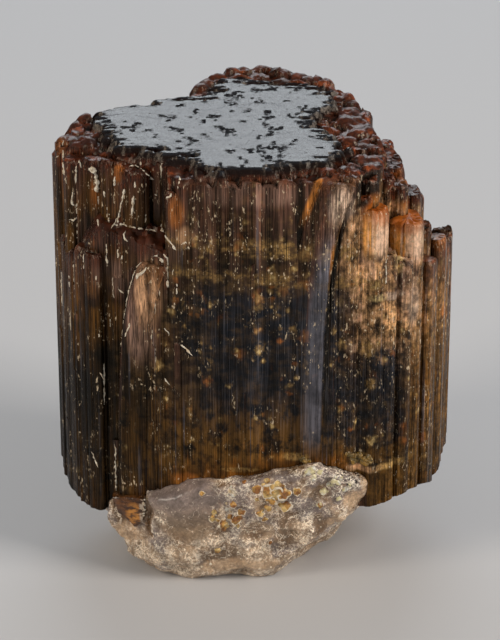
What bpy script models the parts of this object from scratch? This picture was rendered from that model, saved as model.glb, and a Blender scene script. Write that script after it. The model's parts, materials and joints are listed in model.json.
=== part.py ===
"""An elbaite tourmaline crystal that stands on the knob of smoky quartz it grew from.

The crystal is a bundle of parallel prisms with a flat, bright end. Its long axis is Z.
Sizes below are in millimetres. MM turns them into the scene's metres. The origin is on the flat
foot of the quartz, under the middle of the crystal, and the crystal's main face looks along -Y.
"""

import math
import random

import bmesh
import bpy
from mathutils import Matrix, Vector

MM = 0.001

# Heights of the crystal's end face, its rim, its shoulders and its broken lower end
END_FACE_Z = 65.0
RIM_CORE_Z = 63.6
BREAK_Z = 10.1
BREAK_SLOPE = 0.035
BREAK_UNEVENNESS = 0.6
WORN_CORNERS_X = 25.0
WORN_CORNERS_SLOPE = 0.35
RISE_TO_RIGHT_FRONT = 22.0

# Ribs on the sides of the bundle
RIB_WIDTH = 2.9
RIB_DEPTH = 0.4

# The shape of one prism: a triangle with bulging faces, turned as all the others are
PRISM_SIDES = 7
PRISM_BULGE = 0.09
PRISM_TURN = math.radians(30)
PRISM_TAPER = 1.12
PRISM_BEVEL = 0.28
PRISM_SEED = 7

# Prisms along the rim
RIM_RADIUS = 1.9
RIM_SPACING = 3.3
RIM_INSET = 1.9
RIM_HEIGHT_SPREAD = 0.5

# Outline of the bright end face, seen from above
END_FACE = (
    (-20.8, 3.8), (-20.0, -5.0), (-17.7, -9.4), (-12.7, -10.8), (-11.2, -13.4), (-7.8, -12.9),
    (-6.3, -17.3), (-3.5, -18.9), (0.7, -17.6), (9.8, -15.3), (12.4, -12.0), (10.7, -5.0),
    (7.4, -3.4), (8.9, 2.6), (11.8, 7.9), (10.7, 12.6), (0.2, 15.2), (-4.0, 17.4),
    (-5.2, 9.6), (-13.2, 8.6), (-14.0, 6.4), (-18.6, 7.4),
)

# Outer line of the rim and its height at each corner: x, y, top
RIM = (
    (-9.8, -19.6, 63.6), (-4.0, -20.4, 63.9), (4.0, -20.6, 63.6), (10.8, -20.0, 64.0),
    (15.0, -17.6, 63.9), (18.6, -13.2, 63.4), (19.4, -7.0, 63.3), (18.2, -1.0, 63.7),
    (17.2, 6.6, 64.0), (14.6, 14.2, 64.4), (11.4, 18.8, 64.8), (8.0, 22.2, 65.1),
    (-1.4, 23.4, 65.1), (-6.6, 20.2, 65.0), (-8.6, 14.6, 64.8), (-9.8, 10.2, 64.6),
    (-13.0, 9.4, 64.7), (-17.8, 6.4, 64.7), (-21.4, 5.0, 64.6), (-25.2, 2.4, 64.4),
    (-27.4, -1.4, 63.9), (-27.9, -5.6, 63.4), (-22.6, -8.2, 64.0), (-18.4, -11.8, 64.1),
    (-12.8, -15.0, 64.2),
)

# Terraces of the bundle under the rim, each an outline and the height that it ends at
LOW_SHOULDERS_Z = 44.0
LOW_SHOULDERS = (
    (-27.3, -4.6), (-25.8, -9.4), (-23.6, -14.0), (-16.8, -16.6), (-10.6, -19.6), (10.0, -20.2),
    (16.8, -17.9), (22.6, -14.4), (26.6, -10.6), (27.6, -5.6), (29.4, -1.0), (30.0, 4.0),
    (25.2, 11.0), (18.6, 17.0), (11.2, 21.4), (0.0, 23.4), (-6.8, 20.6), (-10.6, 14.0),
    (-19.2, 7.8), (-26.0, 2.2),
)

RIGHT_TERRACE_Z = 52.0
RIGHT_TERRACE = (
    (14.0, -17.0), (18.6, -15.2), (23.0, -11.6), (24.0, -6.4), (24.4, -2.0), (23.4, 3.6),
    (20.6, 9.6), (16.4, 14.6), (10.0, 18.0), (8.0, 0.0),
)
HIGH_TERRACE_Z = 58.2
HIGH_TERRACE = (
    (14.0, -16.6), (17.6, -14.0), (21.4, -11.0), (21.0, -6.0), (20.2, 2.0), (17.8, 8.2),
    (14.6, 14.0), (10.0, 18.0), (8.0, 0.0),
)
BUTTRESS_Z = 50.6
BUTTRESS = (
    (-24.4, -9.0), (-24.2, -13.0), (-21.0, -14.4), (-17.0, -15.6), (-12.6, -18.4), (-10.2, -19.0),
    (-8.0, -12.0), (-18.0, -6.0),
)

# Prisms that end by themselves below the rim: x, y, radius, top
RIGHT_STEPS = (
    (13.6, -17.8, 1.8, 63.9), (16.4, -15.2, 1.9, 62.4), (15.6, -17.0, 1.7, 60.4),
    (18.9, -11.4, 1.7, 61.2), (20.8, -11.2, 1.8, 60.0), (17.4, -15.7, 2.5, 57.0),
    (21.8, -13.0, 2.5, 55.4), (20.4, -7.2, 1.8, 61.0), (22.8, -8.6, 1.8, 57.2),
    (24.6, -8.2, 1.7, 52.0), (26.8, -6.8, 1.9, 49.6), (25.2, -11.4, 1.7, 48.2),
    (27.2, -2.8, 2.0, 47.8), (27.8, 3.0, 2.5, 45.4), (23.0, -3.4, 2.1, 55.0),
    (23.0, 2.4, 2.2, 53.4), (19.8, -2.6, 2.2, 60.6), (19.0, 3.8, 2.3, 60.0),
    (23.8, 7.6, 2.2, 50.6), (19.2, 9.6, 2.4, 57.6), (16.2, 13.6, 2.3, 60.6),
    (21.6, 12.8, 2.2, 49.4), (15.4, 17.2, 2.2, 55.0), (17.0, -18.2, 1.6, 50.6),
    (20.2, -16.4, 1.9, 49.2),
)
LEFT_STEPS = (
    (-14.3, -14.4, 1.9, 61.0), (-10.2, -18.1, 1.5, 58.4), (-22.9, -12.0, 2.0, 49.6),
    (-20.6, -13.2, 2.0, 51.4), (-17.6, -14.4, 2.3, 52.2), (-14.6, -16.0, 2.2, 51.7),
    (-12.0, -17.8, 1.9, 50.4), (-14.2, -17.3, 1.9, 47.4), (-26.2, -7.6, 1.9, 61.4),
    (-25.2, -9.6, 1.7, 57.6),
)
BACK_STEPS = (
    (-12.4, 13.2, 2.3, 58.6), (-9.8, 18.0, 2.2, 60.8), (-16.0, 10.4, 2.2, 61.4),
    (-24.4, 6.0, 2.2, 59.0), (-4.6, 22.6, 2.0, 62.2), (3.6, 23.2, 2.2, 61.6),
    (11.2, 20.6, 2.0, 58.2), (-27.2, 1.4, 1.9, 60.2),
)

# Prisms that lean: x, y, radius, top, and how far to the left the foot stands
LEANING = (
    (12.8, -18.2, 2.3, 63.5, 3.8), (-13.4, -17.6, 1.9, 47.2, 1.2),
)

# Corners of the quartz before its edges were worn: x, y, z
QUARTZ_CORNERS = (
    (-21.8, -14.5, 9.6), (-21.0, -17.2, 12.0), (-20.8, -17.6, 7.4), (-17.8, -18.4, 3.2),
    (-13.0, -21.2, 13.8), (-9.6, -22.6, 15.6), (-1.6, -23.0, 18.2), (9.6, -22.8, 19.8),
    (14.8, -21.4, 18.0), (17.6, -19.0, 16.8), (17.2, -19.0, 13.4), (12.2, -20.9, 9.2),
    (8.0, -21.0, 5.4), (2.4, -20.8, 1.6), (-8.4, -20.8, 0.6), (-9.6, -17.8, -1.6),
    (2.4, -17.8, -1.6), (9.8, -8.0, -1.6), (13.4, 0.0, -1.6), (13.8, 10.0, -1.6),
    (-9.0, 14.2, -1.6), (-16.2, 6.0, -1.6), (-17.0, -5.0, -1.6), (19.0, -4.0, 9.0),
    (17.8, 12.6, 9.6), (-10.8, 17.2, 9.0), (-20.8, 6.0, 8.8), (-21.6, -6.0, 7.6),
    (8.0, -12.0, 21.0), (-4.0, -10.0, 19.0), (6.0, 6.0, 15.0), (-8.0, 8.0, 13.0),
)
QUARTZ_CELL = 1.15
QUARTZ_LUMPS = 2.4
QUARTZ_LUMP_SIZE = 7.0
QUARTZ_FACETS = 0.24
SEAT_GAP = 0.45

# Mica and feldspar grains that sit on the front of the quartz: x, z, radius
GRAINS = (
    (1.0, 16.1, 0.8), (3.3, 15.4, 1.5), (2.9, 13.8, 0.9), (4.9, 13.1, 0.9), (7.1, 15.8, 0.9),
    (1.4, 12.0, 0.8), (-1.2, 12.0, 0.9), (-2.3, 13.6, 1.0), (-4.0, 10.8, 0.9), (-2.4, 11.0, 0.8),
    (-6.0, 11.7, 0.8), (10.7, 15.2, 0.9), (12.4, 17.0, 0.9), (10.3, 13.4, 0.8),
)
GRAIN_SIDES = 5
GRAIN_DEPTH = 3.0
GRAIN_SUNK = 0.3


def clear_scene():
    for obj in list(bpy.data.objects):
        bpy.data.objects.remove(obj)


def new_collection(name):
    made = bpy.data.collections.new(name)
    bpy.context.scene.collection.children.link(made)
    return made


def new_object(name, mesh, collection):
    obj = bpy.data.objects.new(name, mesh)
    collection.objects.link(obj)
    return obj


def as_helper(obj):
    """Keeps an object that only shapes another out of the finished part."""
    obj.hide_render = True
    obj.display_type = "WIRE"
    return obj


def evaluated_copy(obj, name, collection):
    """A plain mesh object with the form and place that obj has after its modifiers."""
    bpy.context.view_layer.update()
    graph = bpy.context.evaluated_depsgraph_get()
    mesh = bpy.data.meshes.new_from_object(obj.evaluated_get(graph))
    mesh.transform(obj.matrix_world)
    return new_object(name, mesh, collection)


def material(name, colour, roughness, transmission):
    made = bpy.data.materials.new(name)
    made.use_nodes = True
    shader = made.node_tree.nodes["Principled BSDF"]
    shader.inputs["Base Color"].default_value = (*colour, 1.0)
    shader.inputs["Roughness"].default_value = roughness
    shader.inputs["Metallic"].default_value = 0.0
    shader.inputs["Transmission Weight"].default_value = transmission
    return made


def along(corners, spacing):
    """Evenly spaced points on a closed line of corners, each with the way inwards."""
    made = []
    for start, end in zip(corners, corners[1:] + corners[:1]):
        start, end = Vector(start), Vector(end)
        run = (end - start).xy
        inward = Vector((-run.y, run.x)).normalized()
        steps = max(1, round(run.length / spacing))
        for step in range(steps):
            made.append((start.lerp(end, step / steps), (end - start) / steps, inward))
    return made


def ribbed(corners, chance):
    """The corners' outline with a rounded rib for each prism that shows in the side."""
    outline = []
    for point, run, inward in along(corners, RIB_WIDTH):
        depth = RIB_DEPTH * chance.uniform(0.5, 1.5)
        for share, sunk in ((0.0, 1.0), (0.28, 0.0), (0.72, 0.1)):
            outline.append(point.xy + run.xy * share + inward * depth * sunk)
    return outline


def block(name, outline, bottom, top, collection):
    """An upright block over an outline, made as a filled flat curve with thickness."""
    curve = bpy.data.curves.new(name, "CURVE")
    curve.dimensions = "2D"
    curve.fill_mode = "BOTH"
    curve.extrude = (top - bottom) / 2 * MM
    spline = curve.splines.new("POLY")
    spline.points.add(len(outline) - 1)
    for point, (x, y) in zip(spline.points, outline):
        point.co = (x * MM, y * MM, 0.0, 1.0)
    spline.use_cyclic_u = True
    flat = new_object(name + "_curve", curve, collection)
    flat.location.z = (bottom + top) / 2 * MM
    solid = evaluated_copy(flat, name, collection)
    bpy.data.objects.remove(flat)
    form = bmesh.new()
    form.from_mesh(solid.data)
    bmesh.ops.remove_doubles(form, verts=form.verts, dist=0.001 * MM)
    bmesh.ops.recalc_face_normals(form, faces=form.faces)
    form.to_mesh(solid.data)
    form.free()
    return solid


def prism(name, x, y, radius, top, collection, chance, lean=0.0):
    """One prism of the bundle, a little wider at its foot, with a worn, slightly tilted end."""
    form = bmesh.new()
    bottom = BREAK_Z - 4
    bmesh.ops.create_cone(
        form, cap_ends=True, segments=PRISM_SIDES, radius1=radius * PRISM_TAPER, radius2=radius,
        depth=top - bottom,
    )
    for vert in form.verts:
        angle = math.atan2(vert.co.y, vert.co.x)
        swell = 1 + PRISM_BULGE * math.cos(3 * (angle - PRISM_TURN)) + chance.uniform(-0.04, 0.04)
        vert.co.x *= swell
        vert.co.y *= swell
    tilt = Vector((chance.uniform(-0.12, 0.12), chance.uniform(-0.12, 0.12)))
    upper = [vert for vert in form.verts if vert.co.z > 0]
    for vert in form.verts:
        if vert in upper:
            vert.co.z += tilt.dot(vert.co.xy)
        else:
            vert.co.x -= lean
    end_edges = [edge for edge in form.edges if all(vert in upper for vert in edge.verts)]
    bmesh.ops.bevel(form, geom=end_edges, offset=radius * PRISM_BEVEL, segments=1, affect="EDGES")
    place = Matrix.Translation((x, y, (top + bottom) / 2))
    bmesh.ops.transform(form, matrix=Matrix.Scale(MM, 4) @ place, verts=form.verts)
    mesh = bpy.data.meshes.new(name)
    form.to_mesh(mesh)
    form.free()
    return as_helper(new_object(name, mesh, collection))


def rim_prisms(collection, chance):
    for number, (point, _, inward) in enumerate(along(RIM, RIM_SPACING)):
        radius = RIM_RADIUS * chance.uniform(0.9, 1.2)
        x, y = point.xy + inward * RIM_INSET * chance.uniform(0.9, 1.3)
        top = point.z + chance.uniform(-RIM_HEIGHT_SPREAD, RIM_HEIGHT_SPREAD)
        prism(f"rim_prism_{number:02d}", x, y, radius, top, collection, chance)


def step_prisms(collection, chance):
    for number, (x, y, radius, top) in enumerate(RIGHT_STEPS + LEFT_STEPS + BACK_STEPS):
        prism(f"step_prism_{number:02d}", x, y, radius, top, collection, chance)
    for number, (x, y, radius, top, lean) in enumerate(LEANING):
        prism(f"leaning_prism_{number}", x, y, radius, top, collection, chance, lean)


def broken_end(collection):
    """The slab whose uneven top is the break at the crystal's lower end."""
    form = bmesh.new()
    bmesh.ops.create_grid(form, x_segments=9, y_segments=8, size=36 * MM)
    made = bmesh.ops.extrude_face_region(form, geom=form.faces[:])
    lowered = [item for item in made["geom"] if isinstance(item, bmesh.types.BMVert)]
    bmesh.ops.translate(form, vec=(0, 0, -8 * MM), verts=lowered)
    chance = random.Random(3)
    for vert in form.verts:
        if vert in lowered:
            continue
        slope = BREAK_SLOPE * vert.co.x
        worn_corner = max(0.0, abs(vert.co.x) - WORN_CORNERS_X * MM) * WORN_CORNERS_SLOPE
        right_front = max(0.0, vert.co.x - 10 * MM) * max(0.0, -vert.co.y - 10 * MM)
        bumps = chance.uniform(-BREAK_UNEVENNESS, BREAK_UNEVENNESS) * MM
        vert.co.z = BREAK_Z * MM + slope + worn_corner + right_front * RISE_TO_RIGHT_FRONT + bumps
    bmesh.ops.recalc_face_normals(form, faces=form.faces)
    mesh = bpy.data.meshes.new("broken_end")
    form.to_mesh(mesh)
    form.free()
    return as_helper(new_object("broken_end", mesh, collection))


def quartz_knob(part, helpers):
    """The knob of quartz with its edges worn round and its faces unevenly broken."""
    form = bmesh.new()
    for corner in QUARTZ_CORNERS:
        form.verts.new(Vector(corner) * MM)
    hull = bmesh.ops.convex_hull(form, input=form.verts)
    spare = [item for item in hull["geom_interior"] if isinstance(item, bmesh.types.BMVert)]
    bmesh.ops.delete(form, geom=spare, context="VERTS")
    mesh = bpy.data.meshes.new("quartz_hull")
    form.to_mesh(mesh)
    form.free()
    hull_body = as_helper(new_object("quartz_hull", mesh, helpers))

    cells = hull_body.modifiers.new("cells", "REMESH")
    cells.mode = "VOXEL"
    cells.voxel_size = QUARTZ_CELL * MM
    lumps = bpy.data.textures.new("quartz_break", "CLOUDS")
    lumps.noise_scale = QUARTZ_LUMP_SIZE * MM
    lumps.noise_depth = 1
    uneven = hull_body.modifiers.new("uneven", "DISPLACE")
    uneven.texture = lumps
    uneven.texture_coords = "GLOBAL"
    uneven.strength = QUARTZ_LUMPS * MM
    uneven.mid_level = 0.62
    facets = hull_body.modifiers.new("facets", "DECIMATE")
    facets.ratio = QUARTZ_FACETS
    return evaluated_copy(hull_body, "quartz_matrix", part)


def grain_on_quartz(number, x, z, radius, quartz, collection):
    """One six-sided grain, sunk into the front of the quartz where a line along Y meets it."""
    form = bmesh.new()
    bmesh.ops.create_cone(
        form, cap_ends=True, segments=GRAIN_SIDES, radius1=radius, radius2=radius * 0.7, depth=GRAIN_DEPTH
    )
    lean = Matrix.Rotation(math.radians(74 + 7 * (number % 3)), 4, "X")
    turn = Matrix.Rotation(math.radians(37 * number), 4, "Z")
    _, surface, _, _ = quartz.ray_cast(Vector((x, -40.0, z)) * MM, Vector((0.0, 1.0, 0.0)))
    place = Matrix.Translation((x, surface.y / MM + GRAIN_DEPTH * GRAIN_SUNK, z))
    bmesh.ops.transform(form, matrix=Matrix.Scale(MM, 4) @ place @ lean @ turn, verts=form.verts)
    mesh = bpy.data.meshes.new(f"grain_{number:02d}")
    form.to_mesh(mesh)
    form.free()
    return as_helper(new_object(f"grain_{number:02d}", mesh, collection))


def boolean(obj, operation, cutter=None, collection=None):
    """Joins an object with, or cuts it by, one helper or a whole collection of them."""
    change = obj.modifiers.new(operation.lower(), "BOOLEAN")
    change.operation = operation
    change.solver = "EXACT"
    if collection is None:
        change.object = cutter
    else:
        change.operand_type = "COLLECTION"
        change.collection = collection
    return change


def build_quartz(part, helpers):
    """The quartz knob with its flat foot and the grains on its front."""
    quartz = quartz_knob(part, helpers)
    grains = new_collection("grains on the quartz")
    for number, (x, z, radius) in enumerate(GRAINS):
        grain_on_quartz(number, x, z, radius, quartz, grains)
    foot = bmesh.new()
    bmesh.ops.create_cube(foot, size=1.0)
    bmesh.ops.scale(foot, vec=(80 * MM, 80 * MM, 10 * MM), verts=foot.verts)
    bmesh.ops.translate(foot, vec=(0, 0, -5 * MM), verts=foot.verts)
    foot_mesh = bpy.data.meshes.new("foot_cut")
    foot.to_mesh(foot_mesh)
    foot.free()
    foot_cut = as_helper(new_object("foot_cut", foot_mesh, helpers))
    boolean(quartz, "UNION", collection=grains)
    boolean(quartz, "DIFFERENCE", cutter=foot_cut)
    quartz.data.materials.append(material("smoky quartz", (0.42, 0.34, 0.28), 0.35, 0.3))
    return quartz


def quartz_seat(quartz, helpers):
    """The hollow that the quartz fills in the crystal: the knob, a little larger all round."""
    seat = evaluated_copy(quartz, "quartz_seat", helpers)
    form = bmesh.new()
    form.from_mesh(seat.data)
    form.normal_update()
    middle = Vector((0.0, -3.0 * MM, 9.0 * MM))
    for vert in form.verts:
        outward = (vert.co - middle).normalized()
        vert.co += (outward + vert.normal).normalized() * SEAT_GAP * MM
    form.to_mesh(seat.data)
    form.free()
    return as_helper(seat)


def build_crystal(part, helpers, quartz):
    """The bundle of prisms, joined in one body, with its broken lower end."""
    chance = random.Random(PRISM_SEED)
    crystal = block("tourmaline_crystal", END_FACE, BREAK_Z - 5, END_FACE_Z, part)
    bundle = new_collection("bundle")
    rim_line = [(x, y) for x, y, _ in RIM]
    terraces = (
        ("rim_core", rim_line, RIM_CORE_Z), ("low_shoulders", LOW_SHOULDERS, LOW_SHOULDERS_Z),
        ("right_terrace", RIGHT_TERRACE, RIGHT_TERRACE_Z), ("high_terrace", HIGH_TERRACE, HIGH_TERRACE_Z),
        ("buttress", BUTTRESS, BUTTRESS_Z),
    )
    for number, (name, outline, top) in enumerate(terraces):
        line = [(x, y, 0.0) for x, y in outline]
        bottom = BREAK_Z - 4.2 + 0.1 * number
        as_helper(block(name, ribbed(line, chance), bottom, top, bundle))
    rim_prisms(bundle, chance)
    step_prisms(bundle, chance)
    boolean(crystal, "UNION", collection=bundle)
    boolean(crystal, "DIFFERENCE", cutter=broken_end(helpers))
    boolean(crystal, "DIFFERENCE", cutter=quartz_seat(quartz, helpers))
    crystal.data.materials.append(material("brown tourmaline", (0.09, 0.04, 0.015), 0.2, 0.3))
    return crystal


def main():
    clear_scene()
    part = new_collection("elbaite tourmaline crystal")
    helpers = new_collection("cutters")
    quartz = build_quartz(part, helpers)
    build_crystal(part, helpers, quartz)


main()
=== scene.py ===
"""The looks of an elbaite tourmaline crystal that stands on its knob of smoky quartz.

Shapes are modelled in millimetres, with the crystal's long axis along Z and the flat foot of the
quartz at z = 0. settle() turns a finished piece into the frame's metres.
"""

import json
import math
import random

import bpy
import numpy as np
from mathutils import Matrix, Vector, noise
from mathutils.bvhtree import BVHTree
from mathutils.kdtree import KDTree

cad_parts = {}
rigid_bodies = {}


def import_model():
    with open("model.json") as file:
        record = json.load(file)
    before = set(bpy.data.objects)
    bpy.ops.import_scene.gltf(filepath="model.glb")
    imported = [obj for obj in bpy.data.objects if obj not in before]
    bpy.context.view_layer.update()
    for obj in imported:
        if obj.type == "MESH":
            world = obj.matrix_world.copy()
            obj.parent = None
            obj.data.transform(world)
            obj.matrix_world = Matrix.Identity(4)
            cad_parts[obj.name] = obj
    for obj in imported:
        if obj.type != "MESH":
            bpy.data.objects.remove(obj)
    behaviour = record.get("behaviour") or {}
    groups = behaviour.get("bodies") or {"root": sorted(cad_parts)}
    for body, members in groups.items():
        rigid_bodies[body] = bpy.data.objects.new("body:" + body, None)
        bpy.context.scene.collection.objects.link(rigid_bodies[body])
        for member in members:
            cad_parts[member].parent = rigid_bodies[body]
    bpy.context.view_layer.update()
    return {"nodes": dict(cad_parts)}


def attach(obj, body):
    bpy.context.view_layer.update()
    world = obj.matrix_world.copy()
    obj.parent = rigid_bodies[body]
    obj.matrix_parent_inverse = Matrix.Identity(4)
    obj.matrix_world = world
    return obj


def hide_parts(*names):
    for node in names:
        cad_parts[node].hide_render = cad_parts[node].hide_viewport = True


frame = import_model()
# The vectors of mathutils.noise start from the clock unless they are given a seed
noise.seed_set(1)

MM = 0.001

# The camera, and how large a millimetre at its target is in the picture
CAMERA_ELEVATION = math.radians(25)
CAMERA_DISTANCE = 0.43
CAMERA_TARGET = Vector((0, 0, 0.033))
PIXELS_PER_MM = 6.7
IMAGE_HEIGHT = 640
SENSOR = 36.0
# Soft lights: place, width, height, power and colour; the floor and the sky around them
LIT_PLACE = Vector((0, 0, 0.04))
LIGHTS = (
    ("light_behind", (0.0, 0.72, 0.42), 0.56, 0.30, 1.9, (0.86, 0.93, 1.0)),
    ("light_left", (-0.6, -0.35, 0.4), 0.3, 0.6, 3.0, (1.0, 0.89, 0.75)),
    ("light_right", (0.6, -0.25, 0.4), 0.3, 0.6, 4.3, (1.0, 0.93, 0.85)),
)
FLOOR_SIZE = 6.0
FLOOR_GREY = (0.55, 0.55, 0.56, 1)
FLOOR_ROUGHNESS = 0.6
SKY = (0.92, 0.95, 1.0, 1)
SKY_STRENGTH = 0.25

# Heights of the end face, its rim and the break at the lower end
END_FACE_Z = 65.0
HIGHEST_Z = 65.7
BREAK_Z = 10.1
BREAK_SLOPE = 0.035
SLAB_SIZE = 74.0
# Steps and grain of the break: name, size, height
BREAK_NOISE = (("break steps", 5.0, 1.2), ("break grain", 1.3, 0.4))
WORN_CORNERS_X = 25.0
WORN_CORNERS_SLOPE = 0.35
RISE_FROM = 10
RISE_TO_RIGHT_FRONT = 0.022
# No prism reaches past these places, left and right, front and back
SIDES_X = (-29.15, 30.35)
SIDES_Y = (-23.3, 25.3)
LOWEST_Z = 0.02
PRESSED_Y = -22.0
PRESSED_DEPTH = 1.28

# Outline of the bright end face, seen from above
END_FACE = (
    (-20.8, 3.8), (-20.0, -5.0), (-17.7, -9.4), (-12.7, -10.8), (-11.2, -13.4), (-7.8, -12.9),
    (-6.3, -17.3), (-3.5, -18.9), (0.7, -17.6), (9.8, -15.3), (12.4, -12.0), (10.7, -5.0),
    (7.4, -3.4), (8.9, 2.6), (11.8, 7.9), (10.7, 12.6), (0.2, 15.2), (-4.0, 17.4),
    (-5.2, 9.6), (-13.2, 8.6), (-14.0, 6.4), (-18.6, 7.4),
)

# Outer line of the rim and its height at each corner: x, y, top
RIM = (
    (-9.8, -19.6, 63.6), (-4.0, -20.4, 63.9), (4.0, -20.6, 63.6), (10.8, -20.0, 64.0),
    (15.0, -17.6, 63.9), (18.6, -13.2, 63.4), (19.4, -7.0, 63.3), (18.2, -1.0, 63.7),
    (17.2, 6.6, 64.0), (14.6, 14.2, 64.4), (11.4, 18.8, 64.8), (8.0, 22.2, 65.1),
    (-1.4, 23.4, 65.1), (-6.6, 20.2, 65.0), (-8.6, 14.6, 64.8), (-9.8, 10.2, 64.6),
    (-13.0, 9.4, 64.7), (-17.8, 6.4, 64.7), (-21.4, 5.0, 64.6), (-25.2, 2.4, 64.4),
    (-27.4, -1.4, 63.9), (-27.9, -5.6, 63.4), (-22.6, -8.2, 64.0), (-18.4, -11.2, 64.1),
    (-12.8, -14.0, 64.2),
)

# Terraces of the bundle under the rim, each an outline and the height that it ends at
LOW_SHOULDERS_Z = 44.0
# The shoulders at the left of the front end higher: how much, and their borders along x and y
LEFT_RAISED = 5.2
LEFT_BORDERS = (-13, 1)
LOW_SHOULDERS = (
    (-28.1, -4.6), (-26.6, -9.4), (-24.2, -14.0), (-16.8, -16.6), (-10.6, -19.6), (10.0, -20.2),
    (16.8, -17.9), (22.6, -14.4), (26.6, -10.6), (27.6, -5.6), (29.4, -1.0), (30.0, 4.0),
    (25.2, 11.0), (18.6, 17.0), (11.2, 21.4), (0.0, 23.4), (-6.8, 20.6), (-10.6, 14.0),
    (-19.2, 7.8), (-26.8, 2.2),
)
RIGHT_TERRACE_Z = 52.0
RIGHT_TERRACE = (
    (14.0, -17.0), (18.6, -15.2), (23.0, -11.6), (24.0, -6.4), (24.4, -2.0), (23.4, 3.6),
    (20.6, 9.6), (16.4, 14.6), (10.0, 18.0), (8.0, 0.0),
)
HIGH_TERRACE_Z = 58.2
HIGH_TERRACE = (
    (14.0, -16.6), (17.6, -14.0), (21.4, -11.0), (21.0, -6.0), (20.2, 2.0), (17.8, 8.2),
    (14.6, 14.0), (10.0, 18.0), (8.0, 0.0),
)
BUTTRESS_Z = 50.6
BUTTRESS = (
    (-24.4, -9.0), (-24.2, -13.2), (-21.0, -15.0), (-17.0, -16.4), (-12.6, -18.8), (-10.2, -19.2),
    (-8.0, -12.0), (-18.0, -6.0),
)

# Terraces from low to high: outline, height, how far their lowest blades end below it
TERRACES = (
    (LOW_SHOULDERS, LOW_SHOULDERS_Z, 10), (RIGHT_TERRACE, RIGHT_TERRACE_Z, 6),
    (HIGH_TERRACE, HIGH_TERRACE_Z, 5),
)
# How far the feet of the blocks reach below the break, and the rim's block above the end face
RIM_FOOT = 5.0
BUTTRESS_FOOT = 4.4
TERRACE_FOOT = 4.2
FOOT_STEP = 0.1
RIM_CUT = 2.0
# Blades of the rim: how many of those that stand out end below it, and how far
LOWER_BLADES = 0.35
LOWER_BY = (0.6, 4.0)
# The shapes that cut the rim and the ledge: left, front, right, back, thickness
CROWN_CUTTER = (-31, -24, 23, 26, 8)
LEDGE_CUTTER = (-29, -23, -5, -2, 9)
# The buttress's blades reach past its ledge, which is then cut: height, greatest height and
# crest of the ledge, how much it drops to the right of the crest and at its left end; its slope
# to the front, from where, and how its line turns at a bend
BUTTRESS_CUT = 5.0
LEDGE_TOP_Z = 54.2
LEDGE_CREST_X = -18.0
LEDGE_LEFT_X = -20.5
LEDGE_DROPS = (0.045, 0.45)
LEDGE_SLOPE = 0.45
LEDGE_FRONT_Y = -15.5
LEDGE_BEND_X = -17.0
LEDGE_BEND = 0.55
LEDGE_LUMPS = (0.3, 0.4)

# Prisms that end by themselves below the rim: x, y, radius, top
RIGHT_STEPS = (
    (13.6, -17.8, 1.8, 63.9), (16.4, -15.2, 1.9, 62.4), (15.6, -17.0, 1.7, 60.4),
    (18.9, -11.4, 1.7, 61.2), (20.8, -11.2, 1.8, 60.0), (17.1, -17.0, 2.6, 58.5),
    (22.3, -13.6, 2.5, 55.6), (20.4, -7.2, 1.8, 61.0), (22.8, -8.6, 1.8, 57.2),
    (24.6, -8.2, 1.7, 52.0), (26.8, -6.8, 1.9, 49.6), (25.2, -11.4, 1.7, 48.2),
    (27.2, -2.8, 2.0, 47.8), (27.8, 3.0, 2.5, 45.4), (23.0, -3.4, 2.1, 55.0),
    (23.0, 2.4, 2.2, 53.4), (19.8, -2.6, 2.2, 60.6), (19.0, 3.8, 2.3, 60.0),
    (23.8, 7.6, 2.2, 50.6), (19.2, 9.6, 2.4, 57.6), (16.2, 13.6, 2.3, 60.6),
    (21.6, 12.8, 2.2, 49.4), (15.4, 17.2, 2.2, 55.0), (17.4, -17.6, 1.7, 53.4),
    (19.4, -17.3, 1.5, 51.8), (21.6, -16.0, 1.8, 50.4),
)
LEFT_STEPS = (
    (-16.2, -12.9, 2.1, 62.8), (-10.2, -18.1, 1.6, 61.4), (-22.9, -12.4, 2.0, 50.6),
    (-24.6, -8.2, 2.0, 62.6), (-21.8, -9.8, 2.0, 63.0), (-19.2, -11.4, 1.9, 63.4),
)
BACK_STEPS = (
    (-11.2, 12.8, 2.3, 58.6), (-8.8, 17.4, 2.2, 60.8), (-15.8, 9.0, 2.2, 61.4),
    (-23.8, 4.8, 2.2, 59.0), (-4.6, 22.2, 2.0, 62.2), (3.6, 22.8, 2.2, 61.6),
    (10.8, 20.4, 2.0, 58.2), (-26.8, 0.8, 1.9, 60.2),
)
# Prisms that lean: x, y, half width, half depth, turn in degrees, top, how far the foot stands
# to the left and how far it sinks in
LEANING = (
    (12.2, -18.85, 3.1, 1.8, -5, 63.2, 4.8, 0.0), (-13.4, -18.0, 2.3, 1.4, -8, 50.2, 3.6, 1.9),
    (14.9, -17.7, 1.3, 1.3, 20, 49.5, 1.6, 1.0),
)
LEAN_LENGTH = 9.0

# How far the colours look for an end of the crystal above and below, and for a crevice's side
DEPTH_REACH = 25.0
CREVICE_REACH = 2.4
# The rays start a little below or above the surface; the bright face fades out over some width
SKIN_DEPTH = 0.12
SKIN_LIFT = 0.05
FACE_FADING = 2.4

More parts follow.
